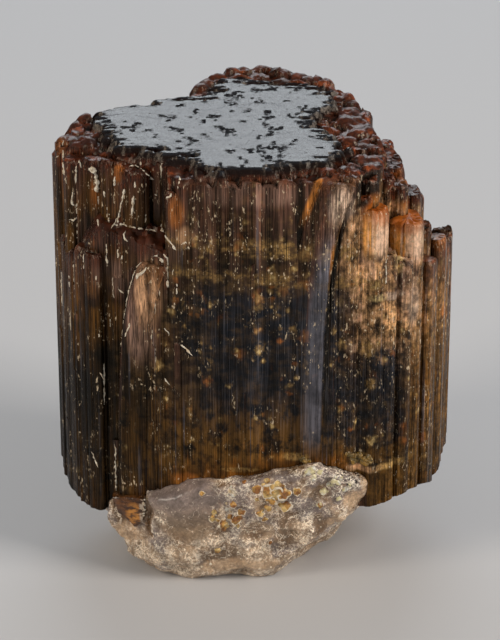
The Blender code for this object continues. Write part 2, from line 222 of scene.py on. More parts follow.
# Clay in the crevices of the left side: half width, then places of each line in millimetres
# across and up from the middle of the picture, as the camera sees them
CLAY_LINES = (
    (0.22, (-27.9, 26.9), (-27.9, 23.5), (-27.7, 21.6)), (0.22, (-27.5, 21.3), (-27.4, 20.4)),
    (0.15, (-29.1, 24.1), (-28.1, 24.9)),
    (0.18, (-26.0, 20.4), (-25.9, 22.9), (-25.4, 23.7), (-25.1, 22.7)),
    (0.22, (-26.3, 19.3), (-26.6, 17.9), (-26.4, 17.1)),
    (0.15, (-27.0, 15.1), (-26.3, 14.9), (-25.9, 15.3), (-25.8, 17.5)),
    (0.13, (-25.8, 14.6), (-25.8, 12.0)),
    (0.42, (-24.1, 22.6), (-23.3, 22.5), (-22.8, 20.8), (-22.9, 19.1)),
    (0.2, (-22.7, 18.5), (-22.6, 17.2)), (0.18, (-22.7, 15.1), (-22.6, 13.9)),
    (0.26, (-21.8, 19.3), (-21.7, 18.4)), (0.16, (-21.5, 16.7), (-21.0, 16.4), (-21.1, 14.5)),
    (0.2, (-20.2, 21.4), (-20.2, 20.0)),
    (0.2, (-18.7, 20.0), (-19.0, 18.1), (-19.4, 16.4), (-19.8, 14.3)),
    (0.2, (-17.1, 20.6), (-17.2, 19.7)), (0.22, (-17.4, 18.7), (-17.6, 15.6)),
    (0.15, (-15.5, 16.0), (-15.7, 14.5)),
    (0.16, (-18.0, 22.9), (-17.1, 23.1), (-16.3, 22.6), (-15.4, 21.8), (-14.4, 20.9)),
    (0.13, (-16.3, 24.1), (-16.4, 22.9)), (0.14, (-13.2, 23.3), (-13.2, 21.2)),
    (0.13, (-10.8, 19.3), (-10.4, 21.6)), (0.15, (-14.4, 18.9), (-13.5, 18.4)),
    (0.18, (-12.8, 18.1), (-11.8, 18.5), (-11.7, 19.0)), (0.14, (-23.9, 12.4), (-23.2, 12.6)),
    (0.16, (-20.4, 14.1), (-19.0, 14.3), (-17.5, 13.8), (-15.9, 13.5), (-14.0, 13.3)),
    (0.2, (-13.2, 14.5), (-13.1, 13.3), (-12.5, 12.4), (-11.7, 11.4), (-11.1, 10.5)),
    (0.16, (-9.7, 13.3), (-9.6, 12.4)), (0.15, (-10.3, 11.3), (-9.6, 11.6), (-9.0, 10.6)),
    (0.17, (-21.4, 11.4), (-21.3, 8.1)), (0.16, (-19.8, 11.0), (-19.7, 9.3)),
    (0.15, (-19.1, 9.9), (-19.1, 8.7)),
    (0.2, (-14.5, 8.7), (-14.4, 9.5), (-13.9, 9.6), (-13.1, 8.9), (-13.1, 8.4)),
    (0.22, (-15.5, 7.9), (-15.9, 7.2), (-16.7, 6.7), (-17.0, 5.9)), (0.13, (-11.4, 8.0), (-11.6, 6.6)),
    (0.14, (-10.9, 5.5), (-10.9, 3.6)), (0.13, (-11.2, 2.8), (-11.3, 1.5)),
    (0.12, (-23.0, 6.8), (-22.9, 5.5)), (0.12, (-27.0, 6.8), (-26.9, 4.9)),
    (0.13, (-20.9, 0.3), (-20.8, -1.4)), (0.13, (-22.6, -1.8), (-22.4, -3.0)),
    (0.16, (-17.9, -0.4), (-18.8, -2.9)), (0.13, (-14.6, -1.4), (-14.7, -3.0)),
    (0.17, (-21.8, -6.4), (-21.8, -12.7)), (0.13, (-21.8, -9.0), (-22.5, -7.6)),
    (0.18, (-20.3, -18.2), (-20.0, -19.2), (-20.1, -21.9), (-19.9, -25.5)),
    (0.14, (-23.7, -19.4), (-22.5, -22.4)),
)
CLAY_STEP = 0.3
CLAY_THINNING = 0.85
CLAY_UNEVEN = (0.45, 1.45)
CLAY_SUNK = 0.07
CLAY_JUMP = 0.9
# How a line finds the bottom of its crevice: places aside, reach, most that it moves in or out
CLAY_SEARCH = (-0.25, -0.12, 0.0, 0.12, 0.25)
CLAY_REACH = 2.5
CLAY_STEP_OUT = 0.7
CLAY_LUMPS = 0.16
CLAY_LUMP_SIZE = 1 / 2.3
# Further lines of clay: how many, where they may start, range of lengths and of half widths
CLAY_DEEP = 0.42
CLAY_HEIGHTS = (24, 62)
CLAY_COUNT = 85
CLAY_LENGTHS = (1.0, 6.0)
CLAY_WIDTHS = (0.09, 0.18)
CLAY_APART = 1.5
# It lies at the left above some height; at the right or behind with a smaller chance
CLAY_LEFT = (-9, 30)
CLAY_RIGHT_X = 10
CLAY_BEHIND_Y = 5
CLAY_ELSEWHERE = 0.12

# Ribs on the sides of the blocks, from broad to fine: width, depth of the grooves between them
BLOCK_RIBS = ((2.9, 0.16), (1.2, 0.12))
OUTLINE_STEP = 0.4
# How much the ribs differ: shares of their width and of their depth
RIB_WIDTHS = (0.55, 1.5)
RIB_DEPTHS = (0.4, 1.6)

# One prism of the bundle, drawn with a half width of 1 and its end at z = 0
PRISM_LENGTH = 62.0
PRISM_ROWS = (0.12, 0.35, 0.75, 1.4, 2.4, 4.0, 6.5, 10.0, 15.0, 23.0, 36.0)
PRISM_KINDS = 8
CROWN_DEPTH = 0.75
CROWN_ROUNDING = 0.2
# Steps of a prism's end, inwards and up, the middle one up or down; where its ribs end below it,
# mean and spread; its greatest tilt; how much deeper its grooves are there
CROWN_STEP = (0.22, 0.14)
MIDDLE_STEP = (0.34, (-0.1, 0.12))
RIB_ENDS = (-0.8, 1.6)
CROWN_TILT = 0.3
CROWN_GROOVES = (1.0, 3.0)
# Blades have flat sides and stand along an outline, stems are rounded triangles that stand free
BLADE = {
    "points": 64, "ribs": (7, 24), "grooves": (0.035, 0.05), "flatness": 4.5, "bulge": 0.0,
    "crowding": 0.62,
}
STEM = {
    "points": 48, "ribs": (6, 18), "grooves": (0.05, 0.06), "flatness": 2.2, "bulge": 0.10,
    "crowding": 0.3,
}
STEM_TURN = math.radians(30)
# How much free stems differ: degrees that they turn, half depth for their half width
STEM_TURNS = (-25, 25)
STEM_DEPTHS = (0.9, 1.1)

# The calm front: how much it faces forward, its middle and half width along x
FRONT_FACING = 0.93
FRONT_MIDDLE_X = 1
FRONT_HALF_WIDTH = 12
# Blades along the outlines: widths, half depths, how far they stand out, greatest turn
BLADE_WIDTHS = (1.0, 3.6)
BLADE_DEPTHS = (1.0, 1.9)
BLADE_OVERLAP = 1.16
STANDING_OUT = (-0.22, 0.24)
FRONT_STANDING_OUT = (-0.08, 0.06)
BLADE_TURN = math.radians(9)
FRONT_BLADE_TURN = math.radians(3)

# Stems that fill the tops of the terraces, in rows from the left front: start, end, spacing
FILL_X = (-29.0, 31.0)
FILL_Y = (-22.0, 25.0)
FILL_SPACING = 2.3
FILL_ROWS = 0.87
FILL_SHIFTS = (-0.5, 0.5)
FILL_RADII = (1.0, 1.5)
FILL_LIFTS = (-0.35, 0.75)

# Thin prisms that stand against the sides of the terraces: outline, lowest and highest end,
# spacing
SPLINTER_LINES = (
    (LOW_SHOULDERS, 15, 43, 2.2), (RIGHT_TERRACE, 40, 53, 1.6), (BUTTRESS, 22, 49, 1.6),
)
RIM_SPLINTERS = (22, 62, 2.2)
SPLINTER_POINTS = 9
SPLINTER_REACH = (0.8, 1.2)
SPLINTER_SLANT = 0.9
SPLINTER_RADII = (0.3, 0.7)
SPLINTERS_OUT = (0.1, 0.4)
FRONT_SPLINTERS_OUT = (0.0, 0.12)

# The upper end: cells of its surface, the slope from the bright face to the rim, lumps of the rim
CROWN_CELL = 0.28
CROWN_SLOPE = 1.7
CROWN_GROOVE = 0.55
LUMP_SIZE = 2.3
SMALL_LUMP_SIZE = 0.8
LUMP_FLATNESS = 1.5
LEDGE_LUMP_SIZE = 1.5
WORN_EDGE = 1.0
ETCH_DEPTH = 0.3
# Cracks and pits of the etching: size and flatness of the cells, how the cracks bend, their width,
# how much of the face has them, how high the noise of a pit is, how sharp its edge
CRACK_SIZE = 2.3
CRACK_FLATNESS = 0.62
CRACK_BEND = 0.5
CRACK_WIDTH = 0.1
CRACKED = 0.22
PIT_FROM = 1.0
PIT_EDGE = 0.12
# Growth steps of the face, the lumps of the rim: how high, how far they slope down, small ones too
FACE_STEP = 0.03
RIM_LUMPS = (0.60, 0.75, 0.08, 0.12)
RIM_RAISED = 0.25
GROOVE_AT = 1.1
GROOVE_WIDTH = 0.7
WORN_DEPTH = 0.55
# Places where the etching is close: x, y, half width, half depth
CLOSE_ETCHING = (
    (9.5, 1.5, 4.5, 5.0), (2.0, -13.0, 4.8, 4.2), (-3.0, 10.0, 3.4, 2.6), (11.0, 13.0, 2.2, 4.0),
    (-17.0, -4.0, 3.0, 2.6), (-9.0, -9.0, 3.0, 1.6),
)

# The quartz: size of its cells, scoops of its broken surface, the smooth facet, the crevice
QUARTZ_CELL = 0.34
SEAT_CELL = 0.7
SEAT_GAP = 0.12
SCOOP_SIZE = 4.4
SCOOP_DEPTH = 0.9
FROST_SIZE = 1.3
FROST_DEPTH = 0.30
SMOOTH_FACET = (-9.5, -20.5, 12.8, 6.4, 5.0, 6.2)
CREVICE_X = -15.2
CREVICE_WIDTH = 0.32
CREVICE_DEPTH = 0.8
CHIP_DEPTH = 0.9
FOOT_SMOOTH = 1.8
# Parts of it that stand out to the side: x, y, z, their reach along each and how far they stand out
QUARTZ_BULGES = ((16.0, -18.5, 16.5, 4.0, 5.0, 5.0, 1.9),)
AMBER_PLACE = (-17.8, -17.5, 11.2, 3.3, 3.8, 2.8)

# Forms of the lumps: how finely they are made, how uneven, how high for their width
GRAIN = (3, 0.5, 0.55)
CRUMB = (1, 0.6, 0.8)
# Golden grains on the front of the quartz: x, z, radius, whether it is flat with a white crust
GRAINS = (
    (1.0, 16.8, 0.66, False), (2.6, 16.3, 1.05, True), (3.8, 16.8, 1.10, True), (4.8, 16.0, 0.95, True),
    (3.7, 15.7, 1.00, True), (3.1, 14.8, 0.72, True), (5.0, 13.6, 0.90, True), (2.7, 13.5, 0.50, False),
    (6.9, 16.1, 0.56, True), (1.5, 12.5, 0.66, True), (2.1, 11.5, 0.45, True), (-5.5, 11.4, 0.62, True),
    (-5.2, 12.2, 0.40, False), (-3.9, 10.7, 0.66, True), (-3.4, 10.0, 0.42, False),
    (-3.8, 9.5, 0.40, False),
    (-2.1, 11.2, 0.62, True), (-1.5, 11.9, 0.45, False), (-2.4, 14.0, 0.50, False), (-1.2, 12.6, 0.5, True),
    (2.5, 17.8, 0.42, False), (-7.0, 15.6, 0.38, True), (10.2, 13.3, 0.4, False), (1.9, 17.3, 0.30, False),
    (-0.8, 17.4, 0.3, False), (3.0, 6.8, 0.35, True), (-4.8, 5.6, 0.4, False), (1.0, 14.9, 0.34, True),
    (-1.8, 10.2, 0.4, True), (-2.9, 11.6, 0.4, False), (-4.6, 10.9, 0.4, True),
)
# Clusters of small angular crystals and golden ones at the crystal's lower edge: x, z, how far
# they spread along each, how many, size
PALE_CLUSTERS = (
    (8.9, 19.2, 0.9, 0.9, 13, 0.50), (12.6, 17.5, 0.6, 0.6, 6, 0.42), (11.6, 16.8, 0.4, 0.4, 4, 0.36),
    (10.6, 15.6, 0.4, 0.5, 6, 0.42), (13.0, 14.1, 0.4, 0.4, 4, 0.38), (10.1, 13.4, 0.4, 0.5, 5, 0.34),
    (-2.7, 16.2, 0.5, 0.9, 10, 0.32), (-3.0, 13.3, 0.8, 0.9, 12, 0.30), (13.8, 15.8, 0.6, 0.8, 6, 0.32),
)
GOLD_CLUSTERS = (
    (7.8, 20.3, 0.8, 0.3, 8, 0.38), (16.1, 19.8, 1.2, 0.6, 15, 0.5), (14.4, 20.6, 0.4, 0.3, 4, 0.34),
)
CRUST_COUNT = 900
CRUST_RADII = (0.07, 0.24)
CHIP_CRUMBS = 16
CHIP_CRUMB_RADII = (0.06, 0.16)
CHIP_FACING = Vector((0.4, -0.9, 0.1))
AMBER_CORNERS = (
    (-20.3, -17.0, 12.5), (-15.6, -18.4, 12.9), (-15.7, -18.9, 9.4), (-16.9, -18.9, 8.4),
    (-19.4, -17.8, 10.2),
)

# Handling of objects and their points

def only(obj):
    """Makes obj the one selected and active object."""
    bpy.ops.object.select_all(action="DESELECT")
    obj.select_set(True)
    bpy.context.view_layer.objects.active = obj


def edit(obj):
    """Opens obj for editing with nothing selected in it."""
    only(obj)
    bpy.ops.object.mode_set(mode="EDIT")
    bpy.ops.mesh.select_mode(type="FACE")
    bpy.ops.mesh.select_all(action="DESELECT")


def leave_edit():
    bpy.ops.object.mode_set(mode="OBJECT")


def edit_all(obj):
    """Opens obj for editing with all of it selected."""
    edit(obj)
    bpy.ops.mesh.select_all(action="SELECT")


def turn_outwards():
    """Turns all faces of the mesh that is open for editing outwards."""
    bpy.ops.mesh.select_all(action="SELECT")
    bpy.ops.mesh.normals_make_consistent(inside=False)


def thickened(sheet, lift):
    """Makes a closed block of a sheet by lifting a copy of it."""
    edit_all(sheet)
    bpy.ops.mesh.extrude_region_move(TRANSFORM_OT_translate={"value": (0, 0, lift)})
    turn_outwards()
    leave_edit()


def in_scene(name, data):
    """A new object in the scene."""
    made = bpy.data.objects.new(name, data)
    bpy.context.scene.collection.objects.link(made)
    return made


def move_to(collection, obj):
    """Takes obj out of the collections it is in and puts it in another."""
    for held in list(obj.users_collection):
        held.objects.unlink(obj)
    collection.objects.link(obj)


def cylinder(points, radius, height, place=(0, 0, 0)):
    """A prism with a number of points round it, its own place still at the origin."""
    bpy.ops.mesh.primitive_cylinder_add(vertices=points, radius=radius, depth=height, location=place)
    bpy.ops.object.transform_apply(location=True)
    return bpy.context.object


def apply_modifiers(obj):
    only(obj)
    for modifier in list(obj.modifiers):
        bpy.ops.object.modifier_apply(modifier=modifier.name)


def remesh(obj, size):
    """Gives obj a new even surface with cells of one size."""
    cells = obj.modifiers.new("cells", "REMESH")
    cells.mode = "VOXEL"
    cells.voxel_size = size
    apply_modifiers(obj)


def read_points(obj, name):
    flat = np.empty(len(obj.data.vertices) * 3)
    obj.data.vertices.foreach_get(name, flat)
    return flat.reshape(-1, 3)


def points_of(obj):
    return read_points(obj, "co")


def normals_of(obj):
    return read_points(obj, "normal")


def move_points(obj, points):
    obj.data.vertices.foreach_set("co", np.ascontiguousarray(points, float).ravel())
    obj.data.update()


def place_round(points, count):
    """The number of the place round a prism, from 0 to count, that each of its points is at."""
    return np.rint(np.arctan2(points[:, 0], points[:, 1]) / math.tau * count).astype(int) % count


def surface_of(obj):
    """The surface of an object, for rays."""
    mesh = obj.data
    mesh.calc_loop_triangles()
    corners = np.empty(len(mesh.loop_triangles) * 3, int)
    mesh.loop_triangles.foreach_get("vertices", corners)
    return BVHTree.FromPolygons([Vector(p) for p in points_of(obj)], corners.reshape(-1, 3).tolist())


def write_attribute(obj, name, values):
    values = np.asarray(values, np.float32)
    obj.data.attributes.new(name, "FLOAT", "POINT").data.foreach_set("value", values)


def joined(name, pieces):
    """One object of several."""
    bpy.ops.object.select_all(action="DESELECT")
    for piece in pieces:
        piece.select_set(True)
    bpy.context.view_layer.objects.active = pieces[0]
    bpy.ops.object.join()
    made = bpy.context.object
    made.name = name
    return made


def keep_apart(obj):
    """Hides a shape that only cuts or joins another."""
    obj.hide_render = True
    obj.hide_viewport = True


def remove(obj):
    bpy.data.objects.remove(obj)


def boolean(obj, operation, other):
    """Joins obj with, or cuts it by, an object or a whole collection."""
    change = obj.modifiers.new(operation.lower(), "BOOLEAN")
    change.operation = operation
    change.solver = "MANIFOLD"
    if isinstance(other, bpy.types.Collection):
        change.operand_type = "COLLECTION"
        change.collection = other
    else:
        change.object = other
    apply_modifiers(obj)


def cut_rows(heights):
    """Cuts level rings into the mesh that is open for editing."""
    for height in heights:
        bpy.ops.mesh.select_all(action="SELECT")
        bpy.ops.mesh.bisect(plane_co=(0, 0, height), plane_no=(0, 0, 1), threshold=1e-5)


# Ribs

def grooves(along, length, width, depth, chance):
    """How deep the surface lies at each place along a row of rounded ribs of uneven widths."""
    borders = [0.0]
    while borders[-1] < length:
        borders.append(borders[-1] + width * chance.uniform(*RIB_WIDTHS))
    borders = np.array(borders) * length / borders[-1]
    depths = np.array([depth * chance.uniform(*RIB_DEPTHS) for _ in borders])
    number = np.clip(np.searchsorted(borders, along, side="right") - 1, 0, len(borders) - 2)
    share = (along - borders[number]) / (borders[number + 1] - borders[number])
    return depths[number] * np.abs(2 * share - 1) ** 3, number


def outline_points(corners, step):
    """Evenly spaced points round an outline, the way inwards at each, and the distance run."""
    places, inward, along = [], [], []
    run_so_far = 0.0
    for start, end in zip(corners, corners[1:] + corners[:1]):
        start, end = np.array(start[:2]), np.array(end[:2])
        run = end - start
        length = float(np.hypot(*run))
        steps = max(1, round(length / step))
        for number in range(steps):
            places.append(start + run * number / steps)
            inward.append(np.array((-run[1], run[0])) / length)
            along.append(run_so_far + length * number / steps)
        run_so_far += length
    return np.array(places), np.array(inward), np.array(along), run_so_far


def ribbed_block(name, corners, bottom, top, chance):
    """An upright block over an outline, with rounded ribs on its sides."""
    places, inward, along, length = outline_points(corners, OUTLINE_STEP)
    count = len(places)
    block = cylinder(count, 1, top - bottom)
    block.name = name
    depth = np.zeros(count)
    for width, groove in BLOCK_RIBS:
        depth += grooves(along, length, width, groove, chance)[0]
    points = points_of(block)
    place = place_round(points * (-1, 1, 1), count)
    points[:, :2] = places[place] + inward[place] * depth[place][:, None]
    points[:, 2] += (bottom + top) / 2
    move_points(block, points)
    return block


# Prisms

def prism_kind(name, form, chance):
    """One ribbed prism with a half width of 1, with a worn and stepped end at z = 0."""
    prism = cylinder(form["points"], 1, PRISM_LENGTH, (0, 0, -PRISM_LENGTH / 2))
    prism.name = name
    edit(prism)
    cut_rows([-down for down in PRISM_ROWS])
    bpy.ops.mesh.select_all(action="DESELECT")
    leave_edit()
    for face in prism.data.polygons:
        face.select = face.center.z > -1e-4
    only(prism)
    bpy.ops.object.mode_set(mode="EDIT")
    inwards, up = CROWN_STEP
    bpy.ops.mesh.inset(thickness=inwards)
    bpy.ops.transform.translate(value=(0, 0, up))
    inwards, ups = MIDDLE_STEP
    bpy.ops.mesh.inset(thickness=inwards)
    bpy.ops.transform.translate(value=(0, 0, chance.uniform(*ups)))
    leave_edit()

    points = points_of(prism)
    angle = np.arctan2(points[:, 0], -points[:, 1])
    reach = np.hypot(points[:, 0], points[:, 1])
    angle = angle - form["crowding"] * np.sin(angle)
    around = (angle + math.pi) / math.tau
    power = form["flatness"]
    square = (np.abs(np.cos(angle)) ** power + np.abs(np.sin(angle)) ** power) ** (-1 / power)
    sunk = np.zeros(len(points))
    for count, groove in zip(form["ribs"], form["grooves"]):
        depth, rib = grooves(around, 1.0, 1.0 / count, groove, chance)
        sunk += depth
        ends = np.array([max(0.0, chance.gauss(*RIB_ENDS)) for _ in range(rib.max() + 1)])[rib]
        sunk += np.where(points[:, 2] > -ends, groove, 0.0)
    crown = np.clip(1 + points[:, 2] / CROWN_DEPTH, 0, 1)
    rounded = 1 - CROWN_ROUNDING * crown ** 2
    out = reach * square * (1 + form["bulge"] * np.cos(3 * (angle - STEM_TURN)) - sunk) * rounded
    points[:, 0] = out * np.sin(angle)
    points[:, 1] = -out * np.cos(angle)
    tilt = np.array([chance.uniform(-CROWN_TILT, CROWN_TILT) for _ in range(2)])
    points[:, 2] += crown * (points[:, :2] @ tilt - sunk * chance.uniform(*CROWN_GROOVES))
    move_points(prism, points)
    keep_apart(prism)
    return prism


def place_prism(kinds, prism, collection, chance):
    """A copy of one kind of prism: x, y, half width, half depth, turn, top, lean, sinking."""
    x, y, wide, deep, turn, top, lean, sink = prism
    copy = bpy.data.objects.new("prism", chance.choice(kinds).data.copy())
    collection.objects.link(copy)
    points = points_of(copy)
    out = points[:, :2] * np.array((wide, deep))
    cos, sin = math.cos(turn), math.sin(turn)
    leaning = 1 - np.exp(np.minimum(points[:, 2], 0) / LEAN_LENGTH)
    points[:, 0] = x + out[:, 0] * cos - out[:, 1] * sin - lean * leaning
    points[:, 1] = y + out[:, 0] * sin + out[:, 1] * cos + sink * leaning
    points[:, 0] = np.clip(points[:, 0], SIDES_X[0], SIDES_X[1])
    points[:, 1] = np.clip(points[:, 1], SIDES_Y[0], SIDES_Y[1])
    points[:, 2] += top
    move_points(copy, points)
    copy.hide_render = True


def splinter(x, y, radius, top, collection, chance):
    """A thin prism with few faces and a slanting end."""
    made = cylinder(SPLINTER_POINTS, radius, PRISM_LENGTH, (x, y, top - PRISM_LENGTH / 2))
    points = points_of(made)
    middle = np.array((x, y))
    out = points[:, :2] - middle
    angle = np.arctan2(out[:, 1], out[:, 0])
    uneven = np.array([chance.uniform(*SPLINTER_REACH) for _ in range(SPLINTER_POINTS)])
    place = np.rint((angle + math.pi) / math.tau * SPLINTER_POINTS).astype(int) % SPLINTER_POINTS
    out *= uneven[place][:, None]
    points[:, :2] = middle + out
    slant = np.array([chance.uniform(-SPLINTER_SLANT, SPLINTER_SLANT) for _ in range(2)])
    points[:, 2] += np.where(points[:, 2] > top - 1, out @ slant, 0.0)
    move_points(made, points)
    move_to(collection, made)
    made.hide_render = True


def along_line(corners, widths):
    """Places along a closed line, stepping by each width in turn: point, way inwards, width."""
    starts = [Vector(corner) for corner in corners]
    ends = starts[1:] + starts[:1]
    made = []
    left_over = 0.0
    width = next(widths)
    for start, end in zip(starts, ends):
        run = end - start
        length = run.xy.length
        inward = Vector((-run.y, run.x)).normalized()
        run_so_far = left_over
        while run_so_far + width / 2 < length:
            made.append((start + run * ((run_so_far + width / 2) / length), inward, width))
            run_so_far += width
            width = next(widths)
        left_over = run_so_far - length
    return made


def uneven_widths(low, high, chance):
    while True:
        yield low + (high - low) * chance.random() ** 1.7


def on_front(point, inward):
    """Whether a place on an outline belongs to the calm front of the crystal."""
    return inward.y > FRONT_FACING and abs(point.x - FRONT_MIDDLE_X) < FRONT_HALF_WIDTH


def blades_along(corners, ends, chance):
    """Blades side by side along an outline. ends gives a blade's end from its place there."""
    made = []
    for point, inward, width in along_line(corners, uneven_widths(*BLADE_WIDTHS, chance)):
        front = on_front(point, inward)
        standing_out = chance.uniform(*(FRONT_STANDING_OUT if front else STANDING_OUT))
        most_turn = FRONT_BLADE_TURN if front else BLADE_TURN
        deep = chance.uniform(*BLADE_DEPTHS)
        x, y = point.xy + inward * (deep - standing_out)
        turn = math.atan2(-inward.y, -inward.x) + math.pi / 2
        turn += chance.uniform(-most_turn, most_turn)
        wide = width / 2 * BLADE_OVERLAP
        made.append((x, y, wide, deep, turn, ends(point, standing_out), 0.0, 0.0))
    return made


def stem(x, y, radius, top, chance):
    turn = math.radians(chance.uniform(*STEM_TURNS))
    return (x, y, radius, radius * chance.uniform(*STEM_DEPTHS), turn, top, 0.0, 0.0)


def distance_out(corners, x, y):
    """How far places lie outside an outline, below zero within it."""
    near = np.full(x.shape, np.inf)
    within = np.zeros(x.shape, bool)
    for (x1, y1, *_), (x2, y2, *_) in zip(corners, corners[1:] + corners[:1]):
        run_x, run_y = x2 - x1, y2 - y1
        share = np.clip(((x - x1) * run_x + (y - y1) * run_y) / (run_x ** 2 + run_y ** 2), 0, 1)
        near = np.minimum(near, np.hypot(x - x1 - share * run_x, y - y1 - share * run_y))
        if run_y:
            within ^= ((y1 > y) != (y2 > y)) & (x < run_x * (y - y1) / run_y + x1)
    return np.where(within, -near, near)


def inside(corners, x, y):
    """Whether a place lies within an outline."""
    return distance_out(corners, np.array([x]), np.array([y]))[0] < 0


def filling_stems(chance):
    """Stems in rows over the terraces, so that no terrace has a bare top."""
    made = []
    row = 0
    y = FILL_Y[0]
    while y < FILL_Y[1]:
        x = FILL_X[0] + (row % 2) * FILL_SPACING / 2
        while x < FILL_X[1]:
            px, py = x + chance.uniform(*FILL_SHIFTS), y + chance.uniform(*FILL_SHIFTS)
            radius = chance.uniform(*FILL_RADII)
            lift = chance.uniform(*FILL_LIFTS)
            x += FILL_SPACING
            if inside(RIM, px, py) or inside(BUTTRESS, px, py):
                continue
            for outline, top, _ in reversed(TERRACES):
                if inside(outline, px, py):
                    raised = higher_left(px, py) if outline is LOW_SHOULDERS else 0.0
                    made.append(stem(px, py, radius, top + 0.3 + raised + lift * 3.0, chance))
                    break
        y += FILL_SPACING * FILL_ROWS
        row += 1
    return made


def splinters_along(corners, low, high, spacing, chance):
    """Places for thin prisms against the side of a terrace: x, y, radius, top."""
    made = []
    for point, inward, _ in along_line(corners, uneven_widths(spacing * 0.4, spacing * 2, chance)):
        radius = chance.uniform(*SPLINTER_RADII)
        front = on_front(point, inward)
        stand_out = chance.uniform(*(FRONT_SPLINTERS_OUT if front else SPLINTERS_OUT))
        x, y = point.xy + inward * (radius - stand_out)
        made.append((x, y, radius, chance.uniform(low, high)))
    return made


# The etched end face and the broken lower end

def roughen(obj, name, size, strength):
    """Moves the points of obj up and down by noise of one size."""
    texture = bpy.data.textures.new(name, "CLOUDS")
    texture.noise_scale = size
    texture.noise_depth = 2
    texture.use_color_ramp = True
    ends = texture.color_ramp.elements
    ends[0].position, ends[0].color = 0.2, (0, 0, 0, 1)
    ends[1].position, ends[1].color = 0.8, (1, 1, 1, 1)
    change = obj.modifiers.new(name, "DISPLACE")
    change.texture = texture
    change.texture_coords = "LOCAL"
    change.direction = "Z"
    change.strength = strength
    apply_modifiers(obj)


def smooth(share):
    share = np.clip(share, 0, 1)
    return share * share * (3 - 2 * share)


def noise_over(x, y, per_x, per_y, seed):
    """Smooth noise between about -1 and 1 over places, with its own rate along x and along y."""
    return np.array([2 * noise.noise((a * per_x, b * per_y, seed)) for a, b in zip(x, y)])


def lumps_over(x, y, size, seed):
    """Rounded lumps over places: the height of the lump there, and how far it has sloped down."""
    heights, slopes = [], []
    for a, b in zip(x, y):
        distances, centres = noise.voronoi((a / size, b / size, seed))
        heights.append(noise.cell(centres[0] * 9.7))
        slopes.append(min(1.0, distances[0] * 1.35) ** LUMP_FLATNESS)
    return np.array(heights), np.array(slopes)


def etching_over(x, y, on_face):
    """How deep the end face is etched over places, from 0 to 1: crooked cracks and pits."""
    close = np.zeros(x.shape)
    for middle_x, middle_y, wide, deep in CLOSE_ETCHING:
        close = np.maximum(close, 1 - ((x - middle_x) / wide) ** 2 - ((y - middle_y) / deep) ** 2)
    depth = []
    for a, b, near, etched in zip(x, y, close, on_face):
        if not etched:
            depth.append(0.0)
            continue
        bend = noise.noise_vector((a * 0.8, b * 0.5, 3.0))
        across = a / CRACK_SIZE + CRACK_BEND * bend.x
        back = CRACK_FLATNESS * b / CRACK_SIZE + CRACK_BEND * bend.y
        distances = noise.voronoi((across, back, 0.5))[0]
        cracked = noise.noise((a * 0.55, b * 0.35, 9.0)) > CRACKED - 0.5 * near
        crack = max(0.0, 1 - (distances[1] - distances[0]) / CRACK_WIDTH) if cracked else 0.0
        pit = noise.fractal((a * 1.1, b * 0.75, 4.0), 0.6, 2.2, 3)
        pitted = (pit - PIT_FROM + 0.6 * near) / PIT_EDGE
        depth.append(min(1.0, crack + max(0.0, min(1.0, pitted))))
    return np.array(depth)


def rim_height(x, y):
    """Height of the rim over places, from the corners of its outer line that lie nearest."""
    total = weights = 0.0
    for corner_x, corner_y, top in RIM:
        weight = ((x - corner_x) ** 2 + (y - corner_y) ** 2 + 3) ** -2
        total = total + weight * top
        weights = weights + weight
    return total / weights


def outside_face(x, y):
    """How far places lie outside the uneven edge of the end face, below zero within it."""
    wander = 1.3 * noise_over(x, y, 0.16, 0.75, 2.0) + 0.7 * noise_over(x, y, 0.6, 1.7, 5.0)
    return distance_out(END_FACE, x, y) + wander


def crown_height(x, y):
    """Height of the upper end over places: the etched face, the slope around it, the lumpy rim."""
    out = outside_face(x, y)
    steps = FACE_STEP * np.round(1.1 * noise_over(x, y, 0.1, 0.13, 3.0))
    face = END_FACE_Z + steps - ETCH_DEPTH * etching_over(x, y, out < CROWN_SLOPE)
    height, slope = lumps_over(x, y, LUMP_SIZE, 1.0)
    small_height, small_slope = lumps_over(x, y, SMALL_LUMP_SIZE, 6.0)
    high, sloping, small_high, small_sloping = RIM_LUMPS
    lumps = high * height - sloping * slope + small_high * small_height - small_sloping * small_slope
    rim = rim_height(x, y) + RIM_RAISED + lumps
    share = smooth(out / CROWN_SLOPE)
    groove = CROWN_GROOVE * np.exp(-((out - GROOVE_AT) / GROOVE_WIDTH) ** 2)
    worn = np.clip(1 + distance_out(RIM, x, y) / WORN_EDGE, 0, 1.4) ** 2
    return np.minimum(face * (1 - share) + rim * share - groove - WORN_DEPTH * worn, HIGHEST_Z)


def ledge_height(x, y):
    """Height of the sloping ledge of the buttress over places."""
    to_right, at_left = LEDGE_DROPS
    arch = LEDGE_TOP_Z - to_right * np.maximum(0, x - LEDGE_CREST_X) ** 2
    arch -= at_left * np.maximum(0, LEDGE_LEFT_X - x) ** 2
    bend = LEDGE_BEND * (x - LEDGE_BEND_X) * (x > LEDGE_BEND_X)
    front = LEDGE_SLOPE * (y + bend - LEDGE_FRONT_Y)
    height, slope = lumps_over(x, y, LEDGE_LUMP_SIZE, 4.0)
    high, sloping = LEDGE_LUMPS
    uneven = 0.2 * noise_over(x, y, 0.5, 0.5, 8.0)
    return arch + front + uneven + high * height - sloping * slope


